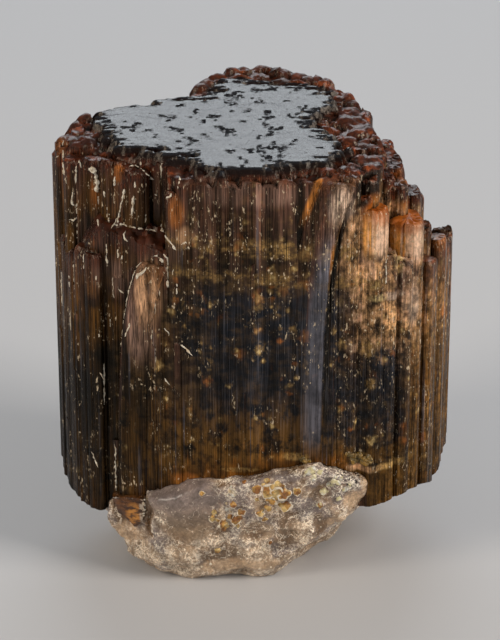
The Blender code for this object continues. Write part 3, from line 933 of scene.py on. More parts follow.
def cutter_above(name, reach, height):
    """A block whose underside follows a height function: left, front, right, back, thickness."""
    left, front, right, back, lift = reach
    wide, deep = right - left, back - front
    bpy.ops.mesh.primitive_grid_add(
        x_subdivisions=round(wide / CROWN_CELL), y_subdivisions=round(deep / CROWN_CELL), size=1
    )
    grid = bpy.context.object
    grid.name = name
    middle = np.array(((left + right) / 2, (front + back) / 2, 0))
    points = points_of(grid) * np.array((wide, deep, 1)) + middle
    points[:, 2] = height(points[:, 0], points[:, 1])
    move_points(grid, points)
    thickened(grid, lift)
    keep_apart(grid)
    return grid


def broken_end():
    """The slab whose uneven top is the break at the crystal's lower end."""
    bpy.ops.mesh.primitive_grid_add(x_subdivisions=72, y_subdivisions=64, size=SLAB_SIZE)
    slab = bpy.context.object
    points = points_of(slab)
    x, y = points[:, 0], points[:, 1]
    worn_corner = np.maximum(0, np.abs(x) - WORN_CORNERS_X) * WORN_CORNERS_SLOPE
    right_front = np.maximum(0, x - RISE_FROM) * np.maximum(0, -y - RISE_FROM)
    points[:, 2] = BREAK_Z + BREAK_SLOPE * x + worn_corner + right_front * RISE_TO_RIGHT_FRONT
    move_points(slab, points)
    for name, size, strength in BREAK_NOISE:
        roughen(slab, name, size, strength)
    thickened(slab, -SLAB_SIZE)
    return slab


# The crystal

def new_collection(name):
    made = bpy.data.collections.new(name)
    bpy.context.scene.collection.children.link(made)
    return made


def flat_line(corners):
    """An outline whose corners all lie at z = 0."""
    return [(x, y, 0.0) for x, y in corners]


def higher_left(x, y):
    """How much higher the shoulders end at the left of the front."""
    return LEFT_RAISED if x < LEFT_BORDERS[0] and y < LEFT_BORDERS[1] else 0.0


def ending(top, drop, chance):
    """Blades that end at about one height, the ones that stand out further down."""
    def end(point, standing_out):
        raised = higher_left(point.x, point.y) if top == LOW_SHOULDERS_Z else 0.0
        lower = drop * chance.random() ** 2 * (0.3 if raised else 1.0) + 3 * max(0.0, standing_out)
        return top + 0.6 + raised - lower
    return end


def rim_ending(chance):
    """Blades of the rim, most of which reach the upper end."""
    def end(point, standing_out):
        if standing_out > 0.1 and chance.random() < LOWER_BLADES:
            return point.z - chance.uniform(*LOWER_BY)
        return point.z + RIM_CUT
    return end


def join_all(block, collection):
    """Joins all prisms of a collection to a block, and clears the collection away."""
    boolean(block, "UNION", collection)
    for obj in list(collection.objects):
        remove(obj)
    bpy.data.collections.remove(collection)


def cut(block, cutter):
    """Cuts a block by a shape that nothing else needs."""
    boolean(block, "DIFFERENCE", cutter)
    remove(cutter)


def place_all(kinds, prisms, collection, chance):
    for prism in prisms:
        place_prism(kinds, prism, collection, chance)


def rim_body(blades, chance):
    """The body under the end face and its rim, and the prisms that stand round it."""
    body = ribbed_block("tourmaline", RIM, BREAK_Z - RIM_FOOT, END_FACE_Z + RIM_CUT, chance)
    reaching = new_collection("reaching the upper end")
    standing = blades_along(RIM, rim_ending(chance), chance)
    place_all(blades, standing, reaching, chance)
    for thin in splinters_along(RIM, *RIM_SPLINTERS, chance):
        splinter(*thin, reaching, chance)
    join_all(body, reaching)
    cut(body, cutter_above("crown", CROWN_CUTTER, crown_height))
    return body, standing


def ledged_buttress(blades, chance):
    """The buttress at the left of the front under its ledge, and its prisms."""
    cut_z = BUTTRESS_Z + BUTTRESS_CUT
    buttress = ribbed_block("buttress", BUTTRESS, BREAK_Z - BUTTRESS_FOOT, cut_z, chance)
    ledged = new_collection("reaching the ledge")
    standing = blades_along(flat_line(BUTTRESS), lambda point, standing_out: cut_z, chance)
    place_all(blades, standing, ledged, chance)
    join_all(buttress, ledged)
    cut(buttress, cutter_above("ledge", LEDGE_CUTTER, ledge_height))
    return buttress, standing


def build_crystal(seat):
    """The whole bundle of prisms as one body, and the places of its prisms for the colours."""
    chance = random.Random(5)
    blades = [prism_kind(f"blade_{number}", BLADE, chance) for number in range(PRISM_KINDS)]
    stems = [prism_kind(f"stem_{number}", STEM, chance) for number in range(PRISM_KINDS)]
    body, standing = rim_body(blades, chance)
    buttress, on_ledge = ledged_buttress(blades, chance)

    bundle = new_collection("bundle")
    for number, (outline, top, drop) in enumerate(TERRACES):
        foot = BREAK_Z - TERRACE_FOOT + FOOT_STEP * number
        move_to(bundle, ribbed_block("terrace", outline, foot, top, chance))
        around = blades_along(flat_line(outline), ending(top, drop, chance), chance)
        place_all(blades, around, bundle, chance)
        standing += around
    move_to(bundle, buttress)
    free = [stem(*step, chance) for step in RIGHT_STEPS + LEFT_STEPS + BACK_STEPS]
    free += filling_stems(chance)
    place_all(stems, free, bundle, chance)
    for x, y, wide, deep, turn, top, lean, sink in LEANING:
        leaning = (x, y, wide, deep, math.radians(turn), top, lean, sink)
        place_prism(blades, leaning, bundle, chance)
    thin = []
    for outline, low, high, spacing in SPLINTER_LINES:
        thin += splinters_along(flat_line(outline), low, high, spacing, chance)
    for x, y, radius, top in thin:
        splinter(x, y, radius, top, bundle, chance)
    join_all(body, bundle)
    for kind in blades + stems:
        remove(kind)
    cut(body, broken_end())
    cut(body, seat)
    return body, [(made[0], made[1]) for made in standing + free + on_ledge]


def open_run(tree, place, way, reach):
    """How far a ray runs from a place before it meets the surface, up to its reach."""
    distance = tree.ray_cast(place, way, reach)[3]
    return reach if distance is None else distance


def closed_in(tree, place, normal):
    """How much the surface closes in on both sides of a place: 0 in the open, 1 in a slit."""
    flat = Vector((normal.x, normal.y, 0.0))
    if flat.length < 0.3:
        return 0.0
    flat.normalize()
    across = Vector((-flat.y, flat.x, 0))
    runs = [
        open_run(tree, place, way.normalized(), CREVICE_REACH)
        for way in (flat + across, flat - across)
    ]
    return sum(0.5 * (1 - run / CREVICE_REACH) for run in runs)


def measured(crystal, prisms):
    """Writes what the colours need to know of each point, and gives the surface and crevices."""
    tree = surface_of(crystal)
    sides = KDTree(len(prisms))
    for number, (x, y) in enumerate(prisms):
        sides.insert((x, y, 0), number)
    sides.balance()
    chance = random.Random(8)
    tints = [chance.random() for _ in prisms]
    values = []
    for vert in crystal.data.vertices:
        below = vert.co - vert.normal * SKIN_DEPTH
        values.append((
            open_run(tree, below, Vector((0, 0, 1)), DEPTH_REACH),
            open_run(tree, below, Vector((0, 0, -1)), DEPTH_REACH),
            closed_in(tree, vert.co + vert.normal * SKIN_LIFT, vert.normal),
            tints[sides.find((vert.co.x, vert.co.y, 0))[1]],
        ))
    points = points_of(crystal)
    bright = 1.0 - smooth((outside_face(points[:, 0], points[:, 1]) + 0.1) / FACE_FADING)
    columns = (*np.array(values).T, bright)
    for name, column in zip(MEASURES, columns):
        write_attribute(crystal, name, column)
    return tree, columns[2]


# Clay

def seen_at(surface, across, up):
    """Where on a surface the camera sees the place across and up from the middle of the picture."""
    ahead = Vector((0, math.cos(CAMERA_ELEVATION), -math.sin(CAMERA_ELEVATION)))
    upward = Vector((0, math.sin(CAMERA_ELEVATION), math.cos(CAMERA_ELEVATION)))
    eye = (CAMERA_TARGET - ahead * CAMERA_DISTANCE) / MM
    way = ahead * CAMERA_DISTANCE / MM + Vector((across, 0, 0)) + upward * up
    place = surface.ray_cast(eye, way.normalized())[0]
    return None if place is None else place + way.normalized() * CLAY_SUNK


def seen_line(surface, corners):
    """The pieces of a line that the camera sees on a surface, parted where it jumps in depth."""
    pieces = [[]]
    for (x1, z1), (x2, z2) in zip(corners, corners[1:]):
        steps = max(1, round(math.hypot(x2 - x1, z2 - z1) / CLAY_STEP))
        for number in range(steps + 1):
            share = number / steps
            place = seen_at(surface, x1 + (x2 - x1) * share, z1 + (z2 - z1) * share)
            if place is None:
                continue
            if pieces[-1] and (place - pieces[-1][-1]).length > CLAY_JUMP:
                pieces.append([])
            pieces[-1].append(place)
    return pieces


def crevice_line(surface, place, outward, length):
    """Follows the bottom of a crevice down from a place in it."""
    across = Vector((-outward.y, outward.x, 0))
    line = [place]
    for _ in range(int(length / CLAY_STEP)):
        deepest = None
        for aside in CLAY_SEARCH:
            start = line[-1] + across * aside + outward * CLAY_REACH - Vector((0, 0, CLAY_STEP))
            hit, _, _, distance = surface.ray_cast(start, -outward, 2 * CLAY_REACH)
            if hit is not None and (deepest is None or distance > deepest[1]):
                deepest = (hit, distance)
        if deepest is None or abs((deepest[0] - line[-1]).dot(outward)) > CLAY_STEP_OUT:
            break
        line.append(deepest[0])
    return line


def strands(name, lines):
    """One object of uneven strands: each a half width and the places along it."""
    chance = random.Random(3)
    path = bpy.data.curves.new(name, "CURVE")
    path.dimensions = "3D"
    path.bevel_depth = 1.0
    path.bevel_resolution = 1
    path.use_fill_caps = True
    for width, places in lines:
        if len(places) < 3:
            continue
        spline = path.splines.new("POLY")
        spline.points.add(len(places) - 1)
        for number, place in enumerate(places):
            tapered = min(1.0, 0.4 + 0.5 * min(number, len(places) - 1 - number))
            radius = CLAY_THINNING * width * tapered * chance.uniform(*CLAY_UNEVEN)
            spline.points[number].co = (*place, 1)
            spline.points[number].radius = radius
    only(in_scene(name, path))
    bpy.ops.object.convert(target="MESH")
    made = bpy.context.object
    points = points_of(made)
    uneven = [CLAY_LUMPS * noise.noise_vector(Vector(point) / CLAY_LUMP_SIZE) for point in points]
    move_points(made, points + np.array(uneven))
    edit(made)
    turn_outwards()
    leave_edit()
    return made


def build_clay(crystal, surface, crevice):
    """Pale clay that lines the crevices of the left side, with a little on the right and behind."""
    chance = random.Random(12)
    lines = []
    for width, *corners in CLAY_LINES:
        lines += [(width, piece) for piece in seen_line(surface, corners)]
    points = points_of(crystal)
    low, high = CLAY_HEIGHTS
    deep = np.flatnonzero((crevice > CLAY_DEEP) & (points[:, 2] > low) & (points[:, 2] < high))
    while len(lines) < len(CLAY_LINES) + CLAY_COUNT:
        start = Vector(points[chance.choice(deep)])
        on_left = start.x < CLAY_LEFT[0] and start.z > CLAY_LEFT[1]
        elsewhere = CLAY_ELSEWHERE if start.x > CLAY_RIGHT_X or start.y > CLAY_BEHIND_Y else 0.0
        if chance.random() > (1.0 if on_left else elsewhere):
            continue
        if any((start - line[0]).length < CLAY_APART for _, line in lines if line):
            continue
        outward = Vector((start.x, start.y, 0)).normalized()
        if surface.ray_cast(start + outward * 0.4, outward, 8.0)[0] is not None:
            continue
        shortest, longest = CLAY_LENGTHS
        length = shortest + (longest - shortest) * chance.random() ** 2
        line = crevice_line(surface, start, outward, length)
        if len(line) > 3:
            lines.append((chance.uniform(*CLAY_WIDTHS), line))
    return strands("clay", lines)


# The quartz

def build_quartz():
    """The knob of quartz: the frame's form with a broken and frosted surface."""
    quartz = in_scene("quartz", frame["nodes"]["quartz_matrix"].data.copy())
    quartz.data.materials.clear()
    quartz.data.transform(Matrix.Scale(1 / MM, 4))
    edit_all(quartz)
    bpy.ops.mesh.remove_doubles(threshold=0.001)
    leave_edit()
    remesh(quartz, QUARTZ_CELL)
    relief, facet = break_up(quartz)
    write_attribute(quartz, "relief", relief)
    write_attribute(quartz, "facet", facet)
    edit_all(quartz)
    foot = (0, 0, LOWEST_Z)
    bpy.ops.mesh.bisect(plane_co=foot, plane_no=(0, 0, -1), use_fill=True, clear_outer=True)
    leave_edit()
    return quartz


def within_ball(points, ball, edge, fading):
    """1 well within a ball and 0 outside: x, y, z and the half widths along each."""
    far = np.linalg.norm((points - np.array(ball[:3])) / np.array(ball[3:6]), axis=1)
    return 1 - smooth((far - edge) / fading)


def break_up(quartz):
    """Gives the quartz scoops with sharp ridges, frost, a smooth facet and a crevice.

    Returns how high each point stands in its relief, and how far it lies on the smooth facet.
    """
    points = points_of(quartz)
    normals = normals_of(quartz)
    facet = within_ball(points, SMOOTH_FACET, 0.75, 0.3)
    facet *= points[:, 0] < -2.6 - 0.4 * np.maximum(0, 17 - points[:, 2])
    scoops, grain = [], []
    for point in points:
        place = Vector(point)
        distances = noise.voronoi(place / SCOOP_SIZE + Vector((5, 1, 2)))[0]
        scoops.append(min(1.0, distances[0] * 1.25) ** 1.6)
        small = noise.voronoi(place / FROST_SIZE)[0][0]
        grain.append(0.5 * min(1.0, small * 1.3) + 0.8 * noise.fractal(place * 0.9, 0.8, 2.1, 4))
    scoops, grain = np.array(scoops), np.array(grain)
    relief = SCOOP_DEPTH * (scoops - 0.6) * (1 - 0.9 * facet)
    relief += FROST_DEPTH * (grain - 0.3) * (1 - 0.93 * facet)
    in_front = (points[:, 1] < -10) & (points[:, 2] > 2)
    wander = 0.35 * np.sin(points[:, 2] * 1.3) + 0.15 * (12 - points[:, 2])
    crevice = np.exp(-((points[:, 0] - CREVICE_X - wander) / CREVICE_WIDTH) ** 2) * in_front
    relief -= CREVICE_DEPTH * crevice * smooth((points[:, 2] - 5.0) / 4.0)
    under_chip = within_ball(points, AMBER_PLACE, 0.7, 0.4)
    relief = relief * (1 - under_chip) - CHIP_DEPTH * under_chip
    relief *= smooth(points[:, 2] / FOOT_SMOOTH)
    moved = points + normals * relief[:, None]
    for *bulge, out in QUARTZ_BULGES:
        moved[:, 0] += out * within_ball(points, bulge, 0, 1)
    move_points(quartz, moved)
    return relief, facet


def laid(made, points, place, normal, out):
    """Turns a shape drawn at the origin to face along a normal, at a place and a little out."""
    facing = np.array(normal.to_track_quat("Z", "Y").to_matrix().transposed())
    move_points(made, points @ facing + np.array(place) + np.array(normal) * out)


def lump(place, normal, radius, form, chance):
    """A small lump on a surface: a rounded GRAIN or an angular CRUMB."""
    fineness, uneven, high = form
    bpy.ops.mesh.primitive_ico_sphere_add(subdivisions=fineness, radius=1)
    made = bpy.context.object
    points = points_of(made)
    shift = Vector((chance.uniform(0, 50), chance.uniform(0, 50), chance.uniform(0, 50)))
    swell = [1 + uneven * noise.noise(Vector(point) * 1.4 + shift) for point in points]
    points *= np.array(swell)[:, None]
    if form is CRUMB:
        spin_x = Matrix.Rotation(chance.uniform(0, 3), 3, "X")
        spin = spin_x @ Matrix.Rotation(chance.uniform(0, 3), 3, "Y")
        points = points @ np.array(spin.transposed())
    points *= np.array((radius, radius, radius * high))
    laid(made, points, place, normal, radius * 0.12)
    return made


def edge_reach(points, shift):
    """How far an uneven round outline reaches in the direction of each point, about 1."""
    reach = []
    for x, y, _ in points:
        way = Vector((x, y, 0)).normalized()
        broad = noise.noise(way * 1.1 + Vector((0, 0, shift)))
        fine = noise.noise(way * 2.6 + Vector((0, 0, shift + 9)))
        reach.append(1 + 0.5 * broad + 0.28 * fine)
    return np.array(reach)


def plate(place, normal, radius, chance):
    """A flat grain with an uneven outline, and the white crust along its edge."""
    shift = chance.uniform(0, 50)
    bpy.ops.mesh.primitive_uv_sphere_add(segments=28, ring_count=10, radius=1)
    grain = bpy.context.object
    bpy.ops.mesh.primitive_torus_add(minor_radius=0.14, major_segments=40, minor_segments=8)
    crust = bpy.context.object
    points = points_of(crust)
    ring = points * np.array((1, 1, 0))
    ring /= np.linalg.norm(ring, axis=1)[:, None]
    aside = Vector((shift, 0, 0))
    thick = [max(0.2, 0.85 + 1.5 * noise.noise(Vector(way) * 1.5 + aside)) for way in ring]
    move_points(crust, ring + (points - ring) * np.array(thick)[:, None])
    for made, high in ((grain, 0.36), (crust, 1.2)):
        points = points_of(made)
        points[:, :2] *= edge_reach(points, shift)[:, None]
        points[:, 2] *= high
        points[:, 2] += [0.5 * noise.noise(Vector((x, y, shift))) for x, y, _ in points]
        laid(made, points * radius, place, normal, radius * 0.08)
    return grain, crust


def from_front(surfaces, x, z):
    """Where a ray from the front meets the nearest of several surfaces: place, normal."""
    met = [surface.ray_cast(Vector((x, -40, z)), Vector((0, 1, 0))) for surface in surfaces]
    place, normal, _, _ = min((hit for hit in met if hit[0] is not None), key=lambda hit: hit[3])
    return place, normal


def clustered(surfaces, clusters, form, chance):
    """Lumps spread over clusters on the surfaces that a ray from the front meets."""
    made = []
    for x, z, wide, high, count, size in clusters:
        for _ in range(count):
            aside, up = chance.gauss(0, wide / 2), chance.gauss(0, high / 2)
            place, normal = from_front(surfaces, x + aside, z + up)
            made.append(lump(place, normal, size * chance.uniform(0.5, 1.2), form, chance))
    return made


def build_grains(quartz, on_crystal):
    """The small things that sit on the quartz: grains, their white crusts, crystals, crumbs."""
    chance = random.Random(21)
    on_quartz = surface_of(quartz)
    grains, crusts = [], []
    for x, z, radius, flat in GRAINS:
        place, normal = from_front([on_quartz], x, z)
        if flat:
            grain, crust = plate(place, normal, radius, chance)
            crusts.append(crust)
        else:
            grain = lump(place, normal, radius, GRAIN, chance)
        grains.append(grain)
    pale = clustered([on_quartz], PALE_CLUSTERS, CRUMB, chance)
    gold = clustered([on_quartz, on_crystal], GOLD_CLUSTERS, GRAIN, chance)
    top, bottom = Vector(AMBER_CORNERS[1]), Vector(AMBER_CORNERS[2])
    for _ in range(CHIP_CRUMBS):
        place = top.lerp(bottom, chance.random()) + Vector((chance.uniform(-0.1, 0.3), -0.3, 0))
        crusts.append(lump(place, CHIP_FACING, chance.uniform(*CHIP_CRUMB_RADII), CRUMB, chance))
    areas = [polygon.area for polygon in quartz.data.polygons]
    for face in chance.choices(range(len(areas)), weights=areas, k=CRUST_COUNT):
        polygon = quartz.data.polygons[face]
        middle, normal = polygon.center, polygon.normal
        hidden = on_crystal.ray_cast(middle + normal * 0.2, normal, 3.0)[0] is not None
        on_facet = middle.x < -5 and middle.y < -10 and middle.z > 7
        sparse = noise.noise(middle * 0.35) < -0.02
        if hidden or on_facet or sparse or middle.z < 1.5 or abs(normal.z) > 0.9:
            continue
        crusts.append(lump(middle, normal, chance.uniform(*CRUST_RADII), CRUMB, chance))
    return (
        joined("grains", grains), joined("white_crust", crusts), joined("pale_crystals", pale),
        joined("gold_lumps", gold),
    )


def build_amber():
    """The chip of amber-coloured crystal in the corner between the tourmaline and the quartz."""
    chip = cylinder(len(AMBER_CORNERS), 1, 2)
    chip.name = "amber_chip"
    points = points_of(chip)
    front = points[:, 2] > 0
    corners = np.array(AMBER_CORNERS)[place_round(points, len(AMBER_CORNERS))]
    middle = np.array(AMBER_CORNERS).mean(axis=0)
    back = middle + (corners - middle) * 1.15 + np.array((0.6, 3.0, -0.3))
    move_points(chip, np.where(front[:, None], corners + np.array((0, -0.35, 0)), back))
    edit(chip)
    turn_outwards()
    bpy.ops.mesh.bevel(offset=0.22, segments=2)
    bpy.ops.mesh.subdivide(number_cuts=3)
    leave_edit()
    points = points_of(chip)
    bumpy = np.array([0.16 * noise.fractal(point * 0.8, 0.8, 2.0, 3) for point in points])
    move_points(chip, points + normals_of(chip) * bumpy[:, None])
    return chip


def quartz_seat(quartz):
    """The hollow that the quartz fills in the crystal: the knob, a little larger all round."""
    seat = in_scene("quartz_seat", quartz.data.copy())
    remesh(seat, SEAT_CELL)
    move_points(seat, points_of(seat) + normals_of(seat) * SEAT_GAP)
    keep_apart(seat)
    return seat


# Finishes

# What is measured on the crystal for its colours: how deep a point lies under the ends, how high
# over the break and how deep in a crevice, the tint of its prism, and where the end face is
MEASURES = ("under_end", "over_break", "crevice", "tint", "bright")


class Value:
    """A value in the node tree of a finish, which can be added, multiplied and spread."""

    def __init__(self, finish, socket):
        self.finish = finish
        self.socket = socket

    def __add__(self, other):
        return self.finish.math("ADD", self, other)

    def __sub__(self, other):
        return self.finish.math("SUBTRACT", self, other)

    def __rsub__(self, other):
        return self.finish.math("SUBTRACT", other, self)

    def __mul__(self, other):
        return self.finish.math("MULTIPLY", self, other)

    def most(self, other):
        return self.finish.math("MAXIMUM", self, other)

    def least(self, other):
        return self.finish.math("MINIMUM", self, other)

    def apart(self, middle):
        return self.finish.math("ABSOLUTE", self - middle)

    def band(self, low, high, start=0.0, end=1.0):
        """Spread smoothly from start to end between low and high."""
        return self.finish.add("ShaderNodeMapRange", "Result", {
            "Value": self, "From Min": low, "From Max": high, "To Min": start, "To Max": end,
        }, interpolation_type="SMOOTHSTEP")

    def near(self, middle, *band):
        """Its distance from a middle, spread as band() does."""
        return self.apart(middle).band(*band)

    def blend(self, first, second):
        """A value between two others, by this one as a share."""
        inputs = {"Factor": self, "A": first, "B": second}
        return self.finish.add("ShaderNodeMix", "Result", inputs, data_type="FLOAT")

    def beside(self, output):
        """Another output of the node that this value comes from."""
        return Value(self.finish, self.socket.node.outputs[output])


class Finish:
    """A material with the colour that it has so far, and short calls for its nodes."""

    def __init__(self, name):
        self.material = bpy.data.materials.new(name)
        self.material.use_nodes = True
        self.nodes = self.material.node_tree.nodes
        self.links = self.material.node_tree.links
        self.colour = None
        self.place = self.stretch(self.add("ShaderNodeTexCoord", "Object"), 1 / MM)
        self.x, self.y, self.z = self.parts(self.place)

    def add(self, kind, output, inputs=(), **settings):
        """A new node: gives the value of one of its outputs."""
        node = self.nodes.new(kind)
        for name, value in settings.items():
            setattr(node, name, value)
        for key, value in dict(inputs).items():
            self.feed(node.inputs[key], value)
        return Value(self, node.outputs[output])

    def feed(self, socket, value):
        if isinstance(value, Value):
            self.links.new(value.socket, socket)
        elif isinstance(value, tuple) and len(value) == 3 and socket.type == "RGBA":
            socket.default_value = (*value, 1.0)
        else:
            socket.default_value = value

    def set(self, **values):
        """Sets inputs of the shader, whose names have _ for each space."""
        shader = self.nodes["Principled BSDF"]
        for name, value in values.items():
            self.feed(shader.inputs[name.replace("_", " ")], value)

    def math(self, operation, first, second=0.0, clamp=False):
        inputs = {0: first, 1: second}
        return self.add("ShaderNodeMath", "Value", inputs, operation=operation, use_clamp=clamp)

    def vector_math(self, operation, output, inputs):
        return self.add("ShaderNodeVectorMath", output, inputs, operation=operation)

    def stretch(self, vector, scale, shift=(0, 0, 0)):
        """Places at another rate: one rate for all axes, or three."""
        scale = scale if isinstance(scale, tuple) else (scale, scale, scale)
        inputs = {"Vector": vector, "Scale": scale, "Location": shift}
        return self.add("ShaderNodeMapping", "Vector", inputs)

    def parts(self, vector):
        first = self.add("ShaderNodeSeparateXYZ", "X", {"Vector": vector})
        return first, first.beside("Y"), first.beside("Z")

    def noise(self, scale, shift=(0, 0, 0), detail=2.0, rough=0.5, bent=0.0):
        return self.add("ShaderNodeTexNoise", "Fac", {
            "Vector": self.stretch(self.place, scale, shift), "Scale": 1.0, "Detail": detail,
            "Roughness": rough, "Distortion": bent,
        })

    def cells(self, vector, feature="F1"):
        """How far each place is from the middle of its cell, or from the cell's border."""
        inputs = {"Vector": vector, "Scale": 1.0}
        return self.add("ShaderNodeTexVoronoi", "Distance", inputs, feature=feature)

    def bent_place(self, scale, shift, rate, detail, strength):
        """Places at another rate, moved about by noise."""
        inputs = {"Vector": self.place, "Scale": rate, "Detail": detail}
        bend = self.lit(self.add("ShaderNodeTexNoise", "Color", inputs), strength)
        return self.vector_math("ADD", "Vector", {0: self.stretch(self.place, scale, shift), 1: bend})

    def soft_spots(self, rate, shift):
        """Soft uneven round spots, one in each cell: the spot, and two chances of its cell."""
        distance = self.cells(self.bent_place((rate, rate, rate * 0.9), shift, 1.1, 2.0, 0.9))
        pick, hue, _ = self.parts(distance.beside("Color"))
        return distance.band(0.50, 0.05), pick, hue

    def crackle(self, rate, shift, thin):
        """A net of thin crooked lines between cells."""
        place = self.bent_place(rate, shift, 0.9, 4.0, 1.3)
        return self.cells(place, "DISTANCE_TO_EDGE").band(thin, 0.0)

    def spots(self, spots):
        """1 in the middle of each spot and 0 outside: x, y, z and the half widths."""
        strongest = None
        for x, y, z, wide, deep, high in spots:
            scale = (1 / wide, 1 / deep, 1 / high)
            off = self.stretch(self.place, scale, (-x / wide, -y / deep, -z / high))
            spot = self.vector_math("LENGTH", "Value", {0: off}).band(1.0, 0.45)
            strongest = spot if strongest is None else strongest.most(spot)
        return strongest

    def within(self, region):
        """The share of a region at each place: its bands along x, y and z, multiplied."""
        share = None
        for axis, band in region:
            value = {"x": self.x, "y": self.y, "z": self.z}[axis[0]]
            part = value.near(*band) if axis.endswith("near") else value.band(*band)
            share = part if share is None else share * part
        return share

    def mix(self, share, first, second):
        """A colour between two, by a share."""
        inputs = {"Factor": share, "A": first, "B": second}
        return self.add("ShaderNodeMix", "Result", inputs, data_type="RGBA")

    def lit(self, colour, factor):
        """A colour made lighter or darker by a factor."""
        return self.vector_math("SCALE", "Vector", {0: colour, "Scale": factor})

    def paint(self, colour, share):
        """Lays a colour over the one so far, by a share."""
        self.colour = self.mix(share, self.colour, colour)

    def light(self, factor):
        """Makes the colour so far lighter or darker by a factor."""
        self.colour = self.lit(self.colour, factor)

    def attribute(self, name):
        return self.add("ShaderNodeAttribute", "Fac", attribute_name=name)

    def done(self, height, strength, distance, **values):
        """The material, with its colour, its bumps and further inputs of the shader."""
        inputs = {"Height": height, "Strength": strength, "Distance": distance}
        bumps = self.add("ShaderNodeBump", "Normal", inputs)
        self.set(Base_Color=self.colour, Normal=bumps, **values)
        return self.material


# Colours, as linear red, green and blue
BLACK_OLIVE = (0.0040, 0.0030, 0.0014)
INK = (0.0062, 0.0082, 0.0122)
UMBER = (0.024, 0.0105, 0.0030)
MAUVE_BROWN = (0.060, 0.033, 0.023)
HONEY = (0.085, 0.036, 0.005)
OLIVE_BROWN = (0.080, 0.038, 0.008)
FLANK_BROWN = (0.130, 0.055, 0.009)
TAN = (0.50, 0.275, 0.122)
BRONZE = (0.074, 0.043, 0.018)
GOLD = (0.29, 0.175, 0.058)
COPPER = (0.22, 0.072, 0.014)
CREAM = (0.78, 0.62, 0.42)
# Painted glow: light through the lower edge of the crystal over the quartz
FOOT_GLOW = (0.25, 0.092, 0.012)
EMBER = (0.64, 0.165, 0.018)
APRICOT = (0.88, 0.38, 0.075)
OXBLOOD = (0.050, 0.0115, 0.0045)
RUST = (0.125, 0.027, 0.0065)
# Painted sheen: a grey reflection laid on the prisms as colour
PAINTED_SHEEN = (0.088, 0.088, 0.106)
ROSE = (0.19, 0.115, 0.086)
PINK_TAN = (0.60, 0.355, 0.215)
BEIGE = (0.40, 0.29, 0.215)
# Painted light: the colour of the brightly lit faces of the two tips at the right
PAINTED_LIT_FACE = (1.0, 0.66, 0.45)
PALE_GOLD = (0.62, 0.46, 0.20)
WARM_GLOSS = (1.0, 0.86, 0.72)
END_FACE_GREY = (0.020, 0.022, 0.028)
RIM_BLACK = (0.012, 0.005, 0.004)

# Spots with a colour: x, y, z and the half widths along x, y and z. Most are the crystal's own
# colour; the glow, side glow and lit face spots are painted light.
# Painted glow through the orange ends of the two tips at the right
PAINTED_GLOW_SPOTS = ((17.7, -17.0, 57.5, 3.2, 3.4, 3.4), (22.3, -13.8, 55.2, 3.2, 3.6, 3.0))
COPPER_SPOTS = (
    (-10.3, -19.2, 58.6, 1.5, 2.0, 3.4), (-22.0, -12.6, 51.8, 1.3, 2.2, 1.3),
    (-28.0, -4.0, 62.4, 2.4, 3.8, 2.6), (-18.6, -13.0, 62.0, 1.4, 2.4, 1.8),
    (-22.0, -10.5, 58.0, 1.2, 2.4, 3.0), (-9.4, -20.2, 17.0, 2.2, 2.0, 1.1),
    (27.6, -8.6, 49.4, 2.0, 2.6, 1.8), (29.0, -2.0, 45.8, 2.0, 3.0, 1.6),
    (28.4, -7.6, 38.0, 1.2, 2.0, 1.6), (21.5, -10.5, 60.4, 2.0, 2.4, 2.0),
    (-15.6, -16.2, 61.0, 2.2, 1.6, 1.4),
)
# Painted glow on the left sides of the two tips at the right
PAINTED_SIDE_GLOW_SPOTS = ((17.0, -17.5, 55.0, 3.2, 3.4, 5.0), (21.4, -14.4, 52.4, 3.0, 3.6, 4.4))
ROSE_SPOTS = (
    (0.0, -20.6, 61.6, 10.0, 1.6, 2.6), (-15.6, -18.0, 41.0, 3.2, 2.2, 9.0),
    (-19.0, -15.0, 47.0, 4.0, 3.0, 4.0), (20.0, -16.0, 49.0, 6.0, 4.0, 9.0),
    (17.0, -18.4, 52.0, 4.0, 1.6, 2.6),
)
PALE_SPOTS = (
    (13.0, -20.6, 59.8, 2.6, 1.8, 4.2), (19.7, -18.0, 45.5, 2.8, 3.0, 0.9),
    (22.5, -15.6, 43.0, 2.2, 3.0, 5.0), (27.6, -4.4, 33.6, 1.4, 4.0, 2.0),
)
# Painted light on the faces of the two tips at the right
PAINTED_LIT_FACE_SPOTS = ((18.2, -19.0, 55.2, 2.9, 2.6, 4.2), (23.0, -15.6, 52.8, 3.0, 3.0, 4.0))
DARK_SPOTS = ((14.9, -17.6, 54.6, 1.3, 3.0, 6.5), (14.6, -18.4, 39.0, 2.2, 2.6, 11.0))
TAN_SPOTS = ((-14.4, -18.4, 45.6, 2.6, 2.2, 7.0), (-9.0, -19.8, 55.0, 1.6, 1.6, 2.0))
YELLOW_SPOTS = (
    (20.7, -16.6, 49.8, 1.5, 2.4, 2.4), (18.2, -19.0, 45.4, 1.6, 1.6, 0.8),
    (16.6, -19.4, 37.4, 1.6, 2.0, 1.8), (17.3, -19.8, 31.9, 1.2, 2.0, 1.2),
    (22.3, -15.4, 29.0, 1.4, 2.0, 1.4), (6.6, -20.3, 20.8, 2.6, 1.6, 0.9),
    (-1.6, -20.4, 18.6, 3.4, 1.6, 0.5), (16.0, -19.3, 20.0, 2.0, 1.6, 1.0),
)
# The orange wedge under the front of the rim: x of its middle at the height of the rim, the
# height, how much it moves to the left for each millimetre down, half width
WEDGE = (9.9, 64.5, 0.36, 0.75)

